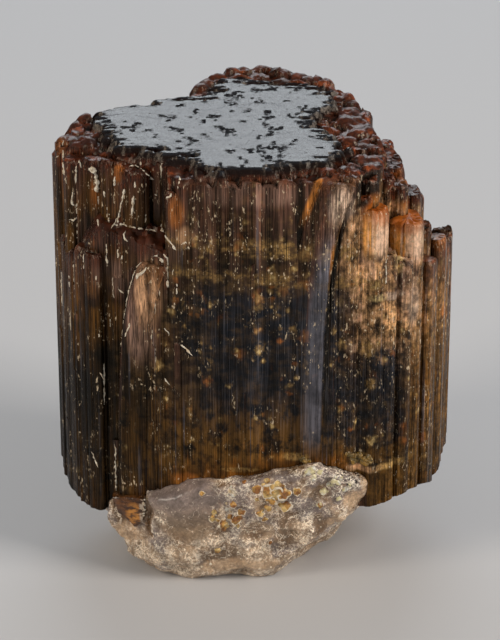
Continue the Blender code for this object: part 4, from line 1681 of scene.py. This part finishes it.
# Regions of the crystal. Along an axis a region fades in from the first place to the second, and
# has the third and fourth number as its strength there. One that is near a place has that place
# first, then its distances from it.
UPPER_PART = (("z", (42, 58)),)
LEFT_SIDE = (("x", (-8, -22)), ("z", (26, 50)))
# Painted glow: light through the thin prisms of the left edge
GLOWING_LEFT_EDGE = (("x", (-24.5, -27)), ("z", (22, 34)))
RIGHT_SIDE = (("x", (10, 18)), ("z", (30, 42)), ("y", (6, -4, 0.35, 1)))
RIGHT_EDGE = (("x", (20, 27)), ("z", (12, 26)))
RIGHT_FRONT = (("x", (8, 15)),)
LOW_RIGHT = (("x", (12, 17)), ("z", (44, 30)))
LOW_LEFT = (("x", (-10, -16)), ("z", (42, 26)))
LOWER_PART = (("z", (34, 22)),)
CORE = (("z near", (36, 15, 8)), ("x near", (3.6, 17, 7)))
LOW_CORE = (("z near", (30, 10.5, 6)), ("x near", (16.6, 7.5, 4.5)), ("y", (-9, -12)))
# Painted sheen: where the broad grey reflection lies on the leaning prism's front
PAINTED_SHEEN_STRETCH = (("y", (-18.5, -19.8)), ("z", (20, 26)), ("z", (59, 50)))
# Painted shade: where the gap beside the leaning prism is darkened
SHADED_GAP_STRETCH = (("y", (-16.5, -18)), ("z", (20, 30)))
OVER_QUARTZ = (("x near", (0.5, 16, 11)), ("y", (-10, -14)))
LEDGE_CORNER = (("x", (13, 15.5)), ("y", (-12, -15)))
LEDGE_LINE = (("x", (13.5, 15.5)), ("x", (25, 20)), ("y", (-12, -15)))
FRONT = (("y", (-18, -19.4)),)
FRONT_UNDER_RIM = (("z", (56, 46)),)
LOW_STEP = (("x", (13, 15)), ("y", (-13, -15)), ("z", (54.6, 53.8)))
# Painted shadow in the gap behind the first tip at the right
SHADOWED_GAP = (("x near", (16.6, 2.4, 1.4)), ("z near", (61.2, 2.4, 1.6)), ("y", (-12, -14)))
# Where the painted glints are many
SPARKLING_SIDE = (("x", (9, 14)), ("z", (24, 34)), ("y", (10, 2)))
AT_RIM = (("z", (63.4, 64.2)),)
# The front edge of the leaning prism, which places its painted sheen and gap shade: its x at the
# foot, and the heights of the golden bands, how much they sink to the right, and of the dark
# stretch between them
PAINTED_SHEEN_EDGE_X = 10.4
BAND_SLOPE = 0.08
UPPER_BAND, LOWER_BAND = (53.6, 1.8, 0.5), (48.8, 1.3, 0.3)
BETWEEN_BANDS = (51.2, 0.4, 1.6, 0.35, 1)
# Golden spots, large and small: how close, shift, share of the cells without one
GOLDEN_SPOTS = ((0.42, (1, 2, 3), 0.86), (0.80, (7, 1, 5), 0.88))

# Noise patterns of the crystal: rates along x, y and z, shift, detail, roughness, distortion
PATTERNS = {
    "hairs": ((6.5, 6.5, 0.14), (0, 0, 0), 2, 0.7),
    "lines": ((2.6, 2.6, 0.08), (3, 1, 7), 2, 0.6),
    "columns": ((0.8, 0.8, 0.05), (9, 4, 2), 2),
    "patches": ((0.15, 0.15, 0.10), (1, 6, 3), 2),
    "flecks": ((2.2, 2.2, 1.5), (5, 5, 1), 2, 0.7),
    "clouds": ((0.26, 0.26, 0.18), (8, 3, 8), 3, 0.55),
    "wisps": ((0.55, 0.55, 0.9), (2, 8, 5), 3, 0.6),
    "marble": ((0.55, 0.55, 0.40), (4, 4, 2), 4, 0.65),
    "granules": ((1.5, 1.5, 0.9), (6, 3, 1), 4, 0.75),
    # The thin lines of painted sheen
    "threads": ((2.3, 2.3, 0.012), (4, 9, 9), 1),
    "breaks": ((0.3, 0.3, 0.10), (2, 2, 6), 1),
    # The specks of painted glints
    "specks": ((1.7, 1.7, 0.7), (7, 7, 7), 3, 0.8),
    "fine_specks": ((4.0, 4.0, 1.3), (1, 2, 7), 1),
    "scratches": ((1.2, 2.2, 1.0), (3, 3, 3), 5, 0.7, 0.5),
    "polish": ((0.5, 0.9, 1.0), (6, 6, 6), 4),
    "grain": ((1.2, 1.2, 0.8), (1, 1, 1), 3, 0.6),
}


class TourmalineFinish(Finish):
    """Dark striated crystal, reddish ends, golden clouds, bright face; painted foot glow, sheen, glints,
    shade.
    """

    def __init__(self):
        super().__init__("tourmaline")
        for name, pattern in PATTERNS.items():
            setattr(self, name, self.noise(*pattern))
        for name in MEASURES:
            setattr(self, name, self.attribute(name))
        normal = self.add("ShaderNodeNewGeometry", "Normal")
        self.sideways, _, self.upwards = self.parts(normal)
        self.upright = self.upwards.band(0.75, 0.35)
        self.front = self.within(FRONT)
        self.right = self.within(RIGHT_SIDE)
        self.depths()
        self.golden_clouds()
        self.painted_sheen_and_gap_shade()
        self.foot()
        self.upper_ends()
        self.coloured_spots()
        self.streaks()
        self.painted_light_on_tips()
        self.painted_glints_and_shade()
        self.end_face()

    def depths(self):
        """The dark inside: browns at the sides, an ink-blue core in front, painted glow at the left edge.
        """
        self.colour = self.mix(self.patches.band(0.42, 0.60), BLACK_OLIVE, UMBER)
        self.paint(MAUVE_BROWN, self.within(UPPER_PART) * self.columns.band(0.36, 0.58) * 0.9)
        self.paint(HONEY, self.within(LEFT_SIDE) * self.clouds.band(0.36, 0.58))
        # Painted glow: light through the thin left edge, in honey colour
        self.paint(HONEY, self.within(GLOWING_LEFT_EDGE) * self.columns.band(0.3, 0.6, 0.2, 0.5))
        self.paint(TAN, self.right * self.marble.band(0.34, 0.54))
        self.paint(PINK_TAN, self.right * self.marble.band(0.52, 0.66) * 0.8)
        self.paint(FLANK_BROWN, self.within(RIGHT_EDGE) * 0.75)
        core = self.within(CORE) * (self.patches + self.columns * 0.4).band(0.35, 0.55)
        self.low_core = self.within(LOW_CORE) * self.marble.band(0.60, 0.46, 0.55, 1)
        self.core = core.most(self.low_core)
        self.paint(INK, self.core)

    def golden_clouds(self):
        """Wisps in two bands across the front, and round spots in clusters."""
        level = self.z + self.x * BAND_SLOPE
        banded = level.near(*UPPER_BAND).most(level.near(*LOWER_BAND) * 0.8)
        reach = self.over_break.band(0.3, 2.5) * (self.x - self.z * 0.35).band(-38, -22)
        wispy = (self.wisps + banded * 0.16).band(0.40, 0.70) * reach * self.core.band(0, 1, 1, 0.5)
        wispy = wispy * level.near(*BETWEEN_BANDS)
        self.paint(BRONZE, wispy * self.lines.band(0.3, 0.6, 0.35, 1))
        lower = self.within(LOWER_PART) * self.marble.band(0.38, 0.56) * reach
        self.paint(OLIVE_BROWN, lower * self.low_core.band(0, 0.7, 0.95, 0.15))
        lit_bands = banded * self.wisps.band(0.42, 0.62) * self.flecks.band(0.30, 0.60) * reach
        self.paint(GOLD, lit_bands * 0.8)
        self.gathered = self.clouds.band(0.42, 0.62).most(banded * 0.8)
        for rate, shift, share in GOLDEN_SPOTS:
            spot, pick, hue = self.soft_spots(rate, shift)
            chosen = (pick + self.gathered * 0.42).band(share, share + 0.25)
            shown = spot * chosen * reach * self.lines.band(0.25, 0.60, 0.4, 1) * 0.85
            golden = self.mix(spot.band(0.6, 1) * 0.6, GOLD, PALE_GOLD)
            self.paint(self.mix(hue.band(0.70, 0.85), golden, COPPER), shown)

    def painted_sheen_and_gap_shade(self):
        """Grey lustre as painted sheen: thin lines, a band on the leaning prism in front; painted shade in
        the gap.
        """
        # Painted sheen: thin grey lines of reflection on upright faces
        threads = self.threads.band(0.62, 0.70) * self.upright * self.breaks.band(0.42, 0.58)
        self.paint(PAINTED_SHEEN, threads * 0.5)
        top, lean = LEANING[0][5:7]
        sinking = self.math("POWER", math.e, (self.z - top) * (1 / LEAN_LENGTH))
        from_edge = sinking * lean + PAINTED_SHEEN_EDGE_X - self.x
        # Painted sheen: a broad grey band of reflection on the leaning prism's front
        broad = from_edge.band(0.1, 0.5) * from_edge.band(3.6, 1.6) * self.within(PAINTED_SHEEN_STRETCH)
        self.paint(PAINTED_SHEEN, broad * self.hairs.band(0.2, 0.5, 0.75, 1) * 0.85)
        # Painted shade in the gap beside the leaning prism
        self.paint(BLACK_OLIVE, from_edge.near(-0.35, 0.5, 0.2) * self.within(SHADED_GAP_STRETCH))

    def foot(self):
        """A painted amber glow over the quartz, and the clean pale ledge at the right of it."""
        over_quartz = self.within(OVER_QUARTZ).most(0.25)
        foot = (self.over_break + self.lines * 2).band(4.2, 1.6)
        # Painted glow: amber light through the lower edge above the quartz
        self.paint(FOOT_GLOW, foot * self.clouds.band(0.42, 0.60, 0.15, 0.9) * over_quartz)
        height = self.z + self.x.apart(17.5) * -0.16
        self.paint(OLIVE_BROWN, height.band(18.2, 17.4) * self.within(LEDGE_CORNER) * 0.85)
        line = height.near(18, 0.75, 0.2) * self.within(LEDGE_LINE)
        pale = self.mix(self.x.band(16, 20), self.mix(0.65, APRICOT, BEIGE), GOLD)
        self.paint(pale, line * self.columns.band(0.3, 0.5, 0.5, 1))

    def upper_ends(self):
        """Reddish ends of the prisms."""
        plain = 1 - (self.front * 0.7).most(self.within(LOW_STEP))
        end = self.under_end - self.tint * 1.5
        near_end = end.band(9, 1) * self.columns.band(0.3, 0.6, 0.2, 0.8)
        self.paint(self.mix(0.6, OXBLOOD, MAUVE_BROWN), near_end)
        self.tip = end.band(1.6, 0.1) * plain
        rusty = self.z.band(55, 60, 0.15, 1).most(self.x.band(0, 8))
        rusty = self.wisps.band(0.46, 0.60) * self.tint.band(0.3, 0.8, 0.35, 1) * rusty
        self.paint(self.mix(rusty, OXBLOOD, RUST), self.tip * self.z.band(44, 58, 0.45, 1))

    def coloured_spots(self):
        """Places with a colour of their own, darker patches, and a painted shadow in the gap behind a tip.
        """
        striped = self.columns.band(0.30, 0.55, 0.3, 1) * self.lines.band(0.3, 0.5, 0.4, 1)
        self.paint(ROSE, self.spots(ROSE_SPOTS) * striped * 0.55)
        self.paint(BEIGE, self.spots(PALE_SPOTS) * striped * 0.85)
        self.paint(self.mix(0.5, TAN, ROSE), self.spots(TAN_SPOTS) * striped * 0.75)
        self.paint(COPPER, self.spots(COPPER_SPOTS) * self.columns.band(0.30, 0.52, 0.5, 1) * 0.7)
        x, z, lean, half = WEDGE
        wedge = self.x.apart((self.z - z) * lean + x).band(half, 0.25 * half) * self.front
        wedge = wedge * self.z.band(56, 60) * self.lines.band(0.3, 0.55, 0.5, 1)
        self.paint(self.mix(0.5, EMBER, APRICOT), wedge * 0.55)
        yellow = self.mix(self.z.band(40, 46), GOLD, PALE_GOLD)
        self.paint(yellow, self.spots(YELLOW_SPOTS) * self.flecks.band(0.36, 0.56) * 0.8)
        # Painted shadow in the gap behind the first tip at the right
        self.paint(BLACK_OLIVE, self.within(SHADOWED_GAP) * self.upright * 0.9)
        self.paint(UMBER, self.spots(DARK_SPOTS) * self.marble.band(0.62, 0.48) * 0.8)

    def streaks(self):
        """Light and dark along the prisms, partly painted highlights, weaker where the front is calm."""
        calm = (self.right * 0.6).most(self.front * self.within(FRONT_UNDER_RIM) * 0.65)
        calm = calm.most(self.core * 0.7)
        self.light(calm.blend(self.columns.band(0.30, 0.68, 0.50, 1.5), 1.0))
        self.light(calm.blend(1.0, self.marble.band(0.36, 0.64, 0.55, 1.5)))
        # Partly the striped colour of the prisms, partly painted highlights on their striations
        streaks = (self.upright * (self.hairs - 0.5) + 0.5).band(0.28, 0.72, 0.26, 2.45)
        self.light((calm * 0.75).blend(streaks, 1.0))
        # Painted sheen: thin grey lines of reflection in the core
        self.paint(PAINTED_SHEEN, self.hairs.band(0.50, 0.72) * self.core * 0.4)
        self.light(self.tint.band(0, 1, 0.72, 1.32))
        granular = self.granules.band(0.3, 0.7, 0.46, 1.95)
        self.light(self.within(RIGHT_FRONT).blend(1.0, granular))
        self.light(self.within(LOW_RIGHT).band(0, 1, 1, 0.66))

    def painted_light_on_tips(self):
        """The two prisms at the right, painted as lit: bright faces, glow on the left sides and through the
        ends.
        """
        even = (self.hairs + self.lines).band(0.7, 1.3, 0.65, 1.3)
        even = even * self.granules.band(0.32, 0.68, 0.62, 1.35)
        lit_face = self.spots(PAINTED_LIT_FACE_SPOTS) * self.columns.band(0.30, 0.50, 0.5, 0.85)
        # Painted light on the faces of the two tips
        self.paint(self.lit(PAINTED_LIT_FACE, even), lit_face)
        to_left = self.sideways.band(-0.05, -0.45)
        # Painted glow on their left-facing sides
        self.paint(self.lit(APRICOT, even), self.spots(PAINTED_SIDE_GLOW_SPOTS) * to_left * 0.9)
        glowing_end = self.spots(PAINTED_GLOW_SPOTS) * self.columns.band(0.34, 0.52, 0.6, 1)
        glow = self.mix(self.under_end.band(0.8, 3.4), EMBER, APRICOT)
        # Painted glow through their ends
        self.paint(glow, glowing_end * self.under_end.band(3.8, 0.9))

    def painted_glints_and_shade(self):
        """Painted glints over the sides; painted shade on side-facing faces and in crevices; darker at
        lower left.
        """
        many = self.within(SPARKLING_SIDE)
        gathered = (self.clouds + self.within(UPPER_PART) * 0.14).band(0.46, 0.60).most(many)
        specks = self.specks.band(0.56, 0.64) * self.fine_specks.band(0.50, 0.60)
        # Painted shade: faces turned to the left and to the right are made darker
        beside = self.sideways.band(-1, -0.4, 0.42, 1).least(self.sideways.band(1, 0.4, 0.7, 1))
        self.light(self.upright.blend(1.0, beside))
        self.light(self.within(LOW_LEFT).band(0, 1, 1, 0.38))
        # Painted glints: pale specks on upright faces
        self.paint(CREAM, specks * self.upright * gathered * 0.75)
        # Painted glints: pale spots on upright faces
        glint, pick, _ = self.soft_spots(1.5, (4, 9, 2))
        glint = glint.band(0.55, 0.95) * pick.band(0.87, 0.95) * many.most(self.gathered)
        self.paint(CREAM, glint * self.upright * 0.8)
        # Painted shade in crevices
        dark = self.mix(0.85, self.colour, BLACK_OLIVE)
        self.paint(dark, self.crevice.band(0.25, 0.9))

    def end_face(self):
        """The bright etched end face, and the gloss of the whole crystal."""
        at_face = self.bright.band(0.15, 0.45) * self.within(AT_RIM)
        face = self.mix(self.bright.band(0.86, 0.97), RIM_BLACK, END_FACE_GREY)
        pits = self.scratches.band(0.60, 0.64) * self.upwards.band(0.6, 0.9)
        self.paint(self.mix(pits, face, RIM_BLACK), at_face)
        rough = self.hairs.band(0.3, 0.7, 0.13, 0.34)
        rough = (self.tip * self.upwards.band(0.3, 0.8)).blend(rough, 0.32)
        face_rough = pits.blend(self.polish.band(0.3, 0.7, 0.10, 0.22), 0.7)
        face_rough = self.upwards.band(0.6, 0.9).blend(0.14, face_rough)
        relief = self.hairs * 0.5 + (self.lines * 0.8 + self.grain * 0.7)
        relief = relief * self.upwards.band(0.2, 0.8, 1, 0.30)
        self.done(
            relief, 0.55, 0.00022, Roughness=at_face.blend(rough, face_rough), IOR=1.63,
            Specular_IOR_Level=0.085, Specular_Tint=WARM_GLOSS, Coat_Weight=0.05,
            Coat_Roughness=0.05, Coat_IOR=1.6, Transmission_Weight=self.tip * 0.3,
        )


# Colours of the quartz and the small things on it
SMOKE = (0.32, 0.245, 0.215)
SMOKY_BROWN = (0.37, 0.25, 0.15)
QUARTZ_TAN = (0.62, 0.425, 0.265)
QUARTZ_BROWN = (0.30, 0.18, 0.095)
FROST = (0.98, 0.86, 0.69)
PEACH = (0.85, 0.57, 0.34)
SPECK_BLACK = (0.03, 0.02, 0.02)
GRAIN_BROWN = (0.36, 0.14, 0.028)
GRAIN_GOLD = (0.62, 0.33, 0.075)
GRAIN_YELLOW = (0.80, 0.56, 0.22)
LUMP_OLIVE = (0.13, 0.085, 0.020)
LUMP_GOLD = (0.42, 0.24, 0.045)
LUMP_PALE = (0.75, 0.58, 0.30)
CRUST_TAN = (0.70, 0.54, 0.35)
CRUST_WHITE = (0.93, 0.85, 0.70)
WHEAT = (0.80, 0.62, 0.40)
PALE_YELLOW = (0.88, 0.78, 0.45)
MILKY = (0.86, 0.82, 0.72)
CHIP_BROWN = (0.075, 0.028, 0.008)
CHIP_AMBER = (0.24, 0.09, 0.022)
# Painted glow of light inside the amber chip
CHIP_PAINTED_GLOW = (0.95, 0.40, 0.07)

# Spots of the quartz and of the chip: x, y, z and the half widths along x, y and z
CREAM_REGIONS = (
    (-3.0, -21.2, 15.8, 1.3, 3.0, 2.6), (-2.6, -22.0, 12.6, 1.8, 3.0, 1.8),
    (9.0, -21.8, 19.0, 1.8, 3.0, 1.6), (-13.0, -19.6, 10.6, 1.4, 3.0, 1.8),
    (-8.0, -20.6, 3.4, 1.0, 3.0, 3.6),
)
PEACH_REGIONS = (
    (15.0, -19.5, 13.4, 2.0, 4.0, 2.6), (16.6, -18.5, 16.6, 1.0, 4.0, 2.4),
    (12.6, -19.6, 10.0, 2.0, 3.0, 1.2), (-18.0, -17.5, 6.8, 2.6, 4.0, 2.0),
    (-1.5, -20.2, 2.8, 9.0, 3.0, 1.5),
)
BROWN_REGIONS = (
    (11.0, -20.5, 10.6, 4.0, 3.0, 1.6), (5.0, -21.2, 6.4, 3.0, 3.0, 1.4),
    (-10.5, -20.5, 7.2, 3.0, 3.0, 2.0),
)
SPECKLED_REGIONS = ((14.0, -20.0, 17.2, 3.4, 4.0, 3.2),)
# Painted glow inside the chip
CHIP_PAINTED_GLOW_SPOTS = ((-17.0, -18.8, 10.4, 1.5, 2.5, 2.0),)
CHIP_EDGE_SPOTS = ((-15.7, -18.8, 11.0, 0.7, 2.5, 3.0),)
# Nets of cracks: how close, shift, half width of a line, patches from which on they show
CRACK_NETS = ((0.55, (3, 1, 4), 0.07, 0.44), (1.3, (8, 2, 6), 0.12, 0.50))


def quartz_finish():
    """Smoky quartz: mauve grey and tan, with white frosting, cracks, peach facets and speckles."""
    finish = Finish("smoky quartz")
    height = finish.z
    relief = finish.attribute("relief")
    facet = finish.attribute("facet")
    clouds = finish.noise(0.22, detail=3.0, rough=0.6)
    patches = finish.noise(0.7, (4, 4, 4), detail=5.0, rough=0.7)
    grain = finish.noise(3.0, (1, 7, 4), detail=3.0, rough=0.7)
    fine_frost = finish.noise(2.2, (6, 2, 9), detail=6.0, rough=0.75)
    broad_frost = finish.noise(0.3, (3, 9, 1), detail=3.0, rough=0.6)
    shade = finish.noise(0.5, (9, 6, 2), detail=3.0, rough=0.6)

    down = 12.5 - height
    finish.colour = finish.mix((clouds + down * 0.014).band(0.44, 0.60), SMOKE, QUARTZ_TAN)
    finish.paint(QUARTZ_BROWN, relief.band(-0.05, -0.45))
    finish.paint(finish.mix(height.band(8.5, 14.5), SMOKY_BROWN, SMOKE), facet * 0.92)
    finish.paint(QUARTZ_BROWN, finish.spots(BROWN_REGIONS) * patches.band(0.35, 0.6))
    peach = finish.spots(PEACH_REGIONS)
    finish.paint(PEACH, peach * patches.band(0.3, 0.5, 0.5, 1.0))

    cream = finish.spots(CREAM_REGIONS) * patches.band(0.38, 0.54) * fine_frost.band(0.42, 0.56)
    bare = finish.math("SUBTRACT", 1.0, facet.most(peach * 0.7), clamp=True)
    ridge = fine_frost + (broad_frost - 0.5) * 0.55 + relief * 0.12 + down * 0.003
    frost = (ridge.band(0.48, 0.68) * bare * 0.8).most(cream)
    for rate, shift, thin, least in CRACK_NETS:
        net = finish.crackle(rate, shift, thin) * patches.band(least, least + 0.12)
        frost = frost.most(net * bare * 0.9)
    line = finish.noise(0.33, (2, 5, 8), detail=3.0, rough=0.6, bent=0.6)
    frost = frost.most(line.near(0.5, 0.007, 0.002) * patches.band(0.46, 0.56) * 0.6)
    finish.paint(FROST, frost * 0.85)

    speck = finish.parts(finish.cells(finish.stretch(finish.place, 3.2)).beside("Color"))[0]
    speckled = finish.spots(SPECKLED_REGIONS)
    finish.paint(FROST, speckled * speck.band(0.62, 0.66))
    finish.paint(SPECK_BLACK, speckled * speck.band(0.22, 0.18))
    finish.light(grain.band(0.3, 0.7, 0.80, 1.30))
    finish.light(shade.band(0.32, 0.68, 0.78, 1.45))
    finish.light(height.band(2.0, 10.0, 0.8, 1.06))

    chipped = finish.cells(finish.stretch(finish.place, 0.9, (2, 6, 3)))
    bumps = (patches * 0.8 + grain * 0.25 + chipped * 0.8) * facet.band(0.2, 0.9, 1.0, 0.15)
    clear = finish.math("SUBTRACT", 1.0, frost, clamp=True) * 0.5
    return finish.done(
        bumps, 0.7, 0.0004, Roughness=frost.band(0.0, 1.0, 0.08, 0.36), IOR=1.54,
        Transmission_Weight=clear,
    )


def grain_finish():
    """Golden, orange and brown grains."""
    finish = Finish("golden grains")
    hue = finish.noise(0.7, (3, 3, 3), detail=1.0)
    fine = finish.noise(1.6, detail=4.0, rough=0.65)
    finish.colour = finish.mix(hue.band(0.38, 0.48), GRAIN_BROWN, GRAIN_GOLD)
    finish.paint(GRAIN_YELLOW, hue.band(0.52, 0.62))
    finish.light(fine.band(0.35, 0.65, 0.55, 1.35))
    return finish.done(fine, 0.8, 0.0004, Roughness=0.16, IOR=1.55, Transmission_Weight=0.25)


def gold_finish():
    """Golden-green lumps at the lower edge of the crystal."""
    finish = Finish("golden lumps")
    hue = finish.noise(0.9, (1, 4, 3))
    fine = finish.noise(2.4, detail=4.0, rough=0.65)
    finish.colour = finish.mix(hue.band(0.40, 0.60), LUMP_OLIVE, LUMP_GOLD)
    finish.paint(LUMP_PALE, fine.band(0.58, 0.70))
    return finish.done(fine, 0.8, 0.0004, Roughness=0.24, IOR=1.55, Transmission_Weight=0.2)


def crust_finish():
    """White crust round the grains and in crumbs, and the clay of the crevices."""
    finish = Finish("white crust")
    fine = finish.noise(2.0, detail=4.0, rough=0.7)
    finish.colour = finish.mix(fine.band(0.35, 0.6), CRUST_TAN, CRUST_WHITE)
    return finish.done(fine, 0.5, 0.0002, Roughness=0.45, IOR=1.5, Transmission_Weight=0.15)


def pale_crystal_finish():
    """Pale yellow crystals that turn white in places."""
    finish = Finish("pale yellow crystals")
    fine = finish.noise(1.4, detail=3.0, rough=0.6)
    finish.colour = finish.mix(finish.x.band(0.0, 6.0), WHEAT, PALE_YELLOW)
    finish.paint(MILKY, fine.band(0.44, 0.62))
    return finish.done(fine, 0.6, 0.0003, Roughness=0.25, IOR=1.55, Transmission_Weight=0.3)


def amber_finish():
    """Clear amber-brown crystal with a painted glow of light inside and pale edges."""
    finish = Finish("amber crystal")
    fine = finish.noise((0.9, 0.9, 2.2), (2, 2, 5), detail=3.0, rough=0.6)
    finish.colour = finish.mix(fine.band(0.35, 0.65), CHIP_BROWN, CHIP_AMBER)
    # Painted glow of light inside the chip
    finish.paint(CHIP_PAINTED_GLOW, finish.spots(CHIP_PAINTED_GLOW_SPOTS) * fine.band(0.40, 0.60))
    finish.paint(FROST, finish.spots(CHIP_EDGE_SPOTS) * fine.band(0.44, 0.56) * 0.8)
    return finish.done(fine, 0.4, 0.0003, Roughness=0.12, IOR=1.6, Transmission_Weight=0.45)


# The studio

def soft_box(name, place, wide, high, power, colour):
    """A soft light that faces the specimen."""
    light = bpy.data.lights.new(name, "AREA")
    light.shape = "RECTANGLE"
    light.size, light.size_y = wide, high
    light.energy = power
    light.color = colour
    holder = in_scene(name, light)
    holder.location = place
    holder.rotation_euler = (LIT_PLACE - Vector(place)).to_track_quat("-Z", "Y").to_euler()


def build_studio():
    """A pale floor, soft lights, and the camera of the photograph."""
    bpy.ops.mesh.primitive_plane_add(size=FLOOR_SIZE)
    floor = bpy.context.object
    floor.name = "floor"
    paint = bpy.data.materials.new("pale floor")
    paint.use_nodes = True
    shader = paint.node_tree.nodes["Principled BSDF"]
    shader.inputs["Base Color"].default_value = FLOOR_GREY
    shader.inputs["Roughness"].default_value = FLOOR_ROUGHNESS
    floor.data.materials.append(paint)

    world = bpy.data.worlds.new("studio")
    bpy.context.scene.world = world
    world.use_nodes = True
    world.node_tree.nodes["Background"].inputs["Color"].default_value = SKY
    world.node_tree.nodes["Background"].inputs["Strength"].default_value = SKY_STRENGTH
    for light in LIGHTS:
        soft_box(*light)

    camera = bpy.data.cameras.new("camera")
    camera.lens = PIXELS_PER_MM * CAMERA_DISTANCE / MM / IMAGE_HEIGHT * SENSOR
    camera.sensor_width = SENSOR
    camera.clip_start = 0.01
    holder = in_scene("camera", camera)
    back = Vector((0, -math.cos(CAMERA_ELEVATION), math.sin(CAMERA_ELEVATION)))
    holder.location = CAMERA_TARGET + back * CAMERA_DISTANCE
    holder.rotation_euler = (-back).to_track_quat("-Z", "Y").to_euler()
    bpy.context.scene.camera = holder
    bpy.context.scene.view_settings.view_transform = "Standard"


def kept_within(points):
    """Presses the front of the quartz back a little and keeps all points inside the frame's box."""
    ahead = np.maximum(0, PRESSED_Y - points[:, 1])
    pressed = np.where(ahead > 0, PRESSED_Y - PRESSED_DEPTH * np.tanh(ahead / PRESSED_DEPTH), points[:, 1])
    x = np.clip(points[:, 0], *SIDES_X)
    y = np.clip(pressed, *SIDES_Y)
    z = np.clip(points[:, 2], LOWEST_Z, HIGHEST_Z)
    return np.column_stack((x, y, z))


def settle(piece, finish, node):
    """Brings a piece to metres, gives it its finish and fixes it to the frame."""
    move_points(piece, kept_within(points_of(piece)) * MM)
    piece.data.materials.clear()
    piece.data.materials.append(finish)
    only(piece)
    bpy.ops.object.shade_smooth_by_angle(angle=math.radians(32))
    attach(piece, "root")
    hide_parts(node)


bpy.ops.object.select_all(action="DESELECT")
build_studio()
quartz = build_quartz()
seat = quartz_seat(quartz)
crystal, prisms = build_crystal(seat)
surface, crevice = measured(crystal, prisms)
clay = build_clay(crystal, surface, crevice)
grains, crust, pale_crystals, gold_lumps = build_grains(quartz, surface)
amber = build_amber()
settle(crystal, TourmalineFinish().material, "tourmaline_crystal")
settle(quartz, quartz_finish(), "quartz_matrix")
settle(grains, grain_finish(), "quartz_matrix")
settle(crust, crust_finish(), "quartz_matrix")
settle(pale_crystals, pale_crystal_finish(), "quartz_matrix")
settle(gold_lumps, gold_finish(), "tourmaline_crystal")
settle(clay, crust_finish(), "tourmaline_crystal")
settle(amber, amber_finish(), "quartz_matrix")
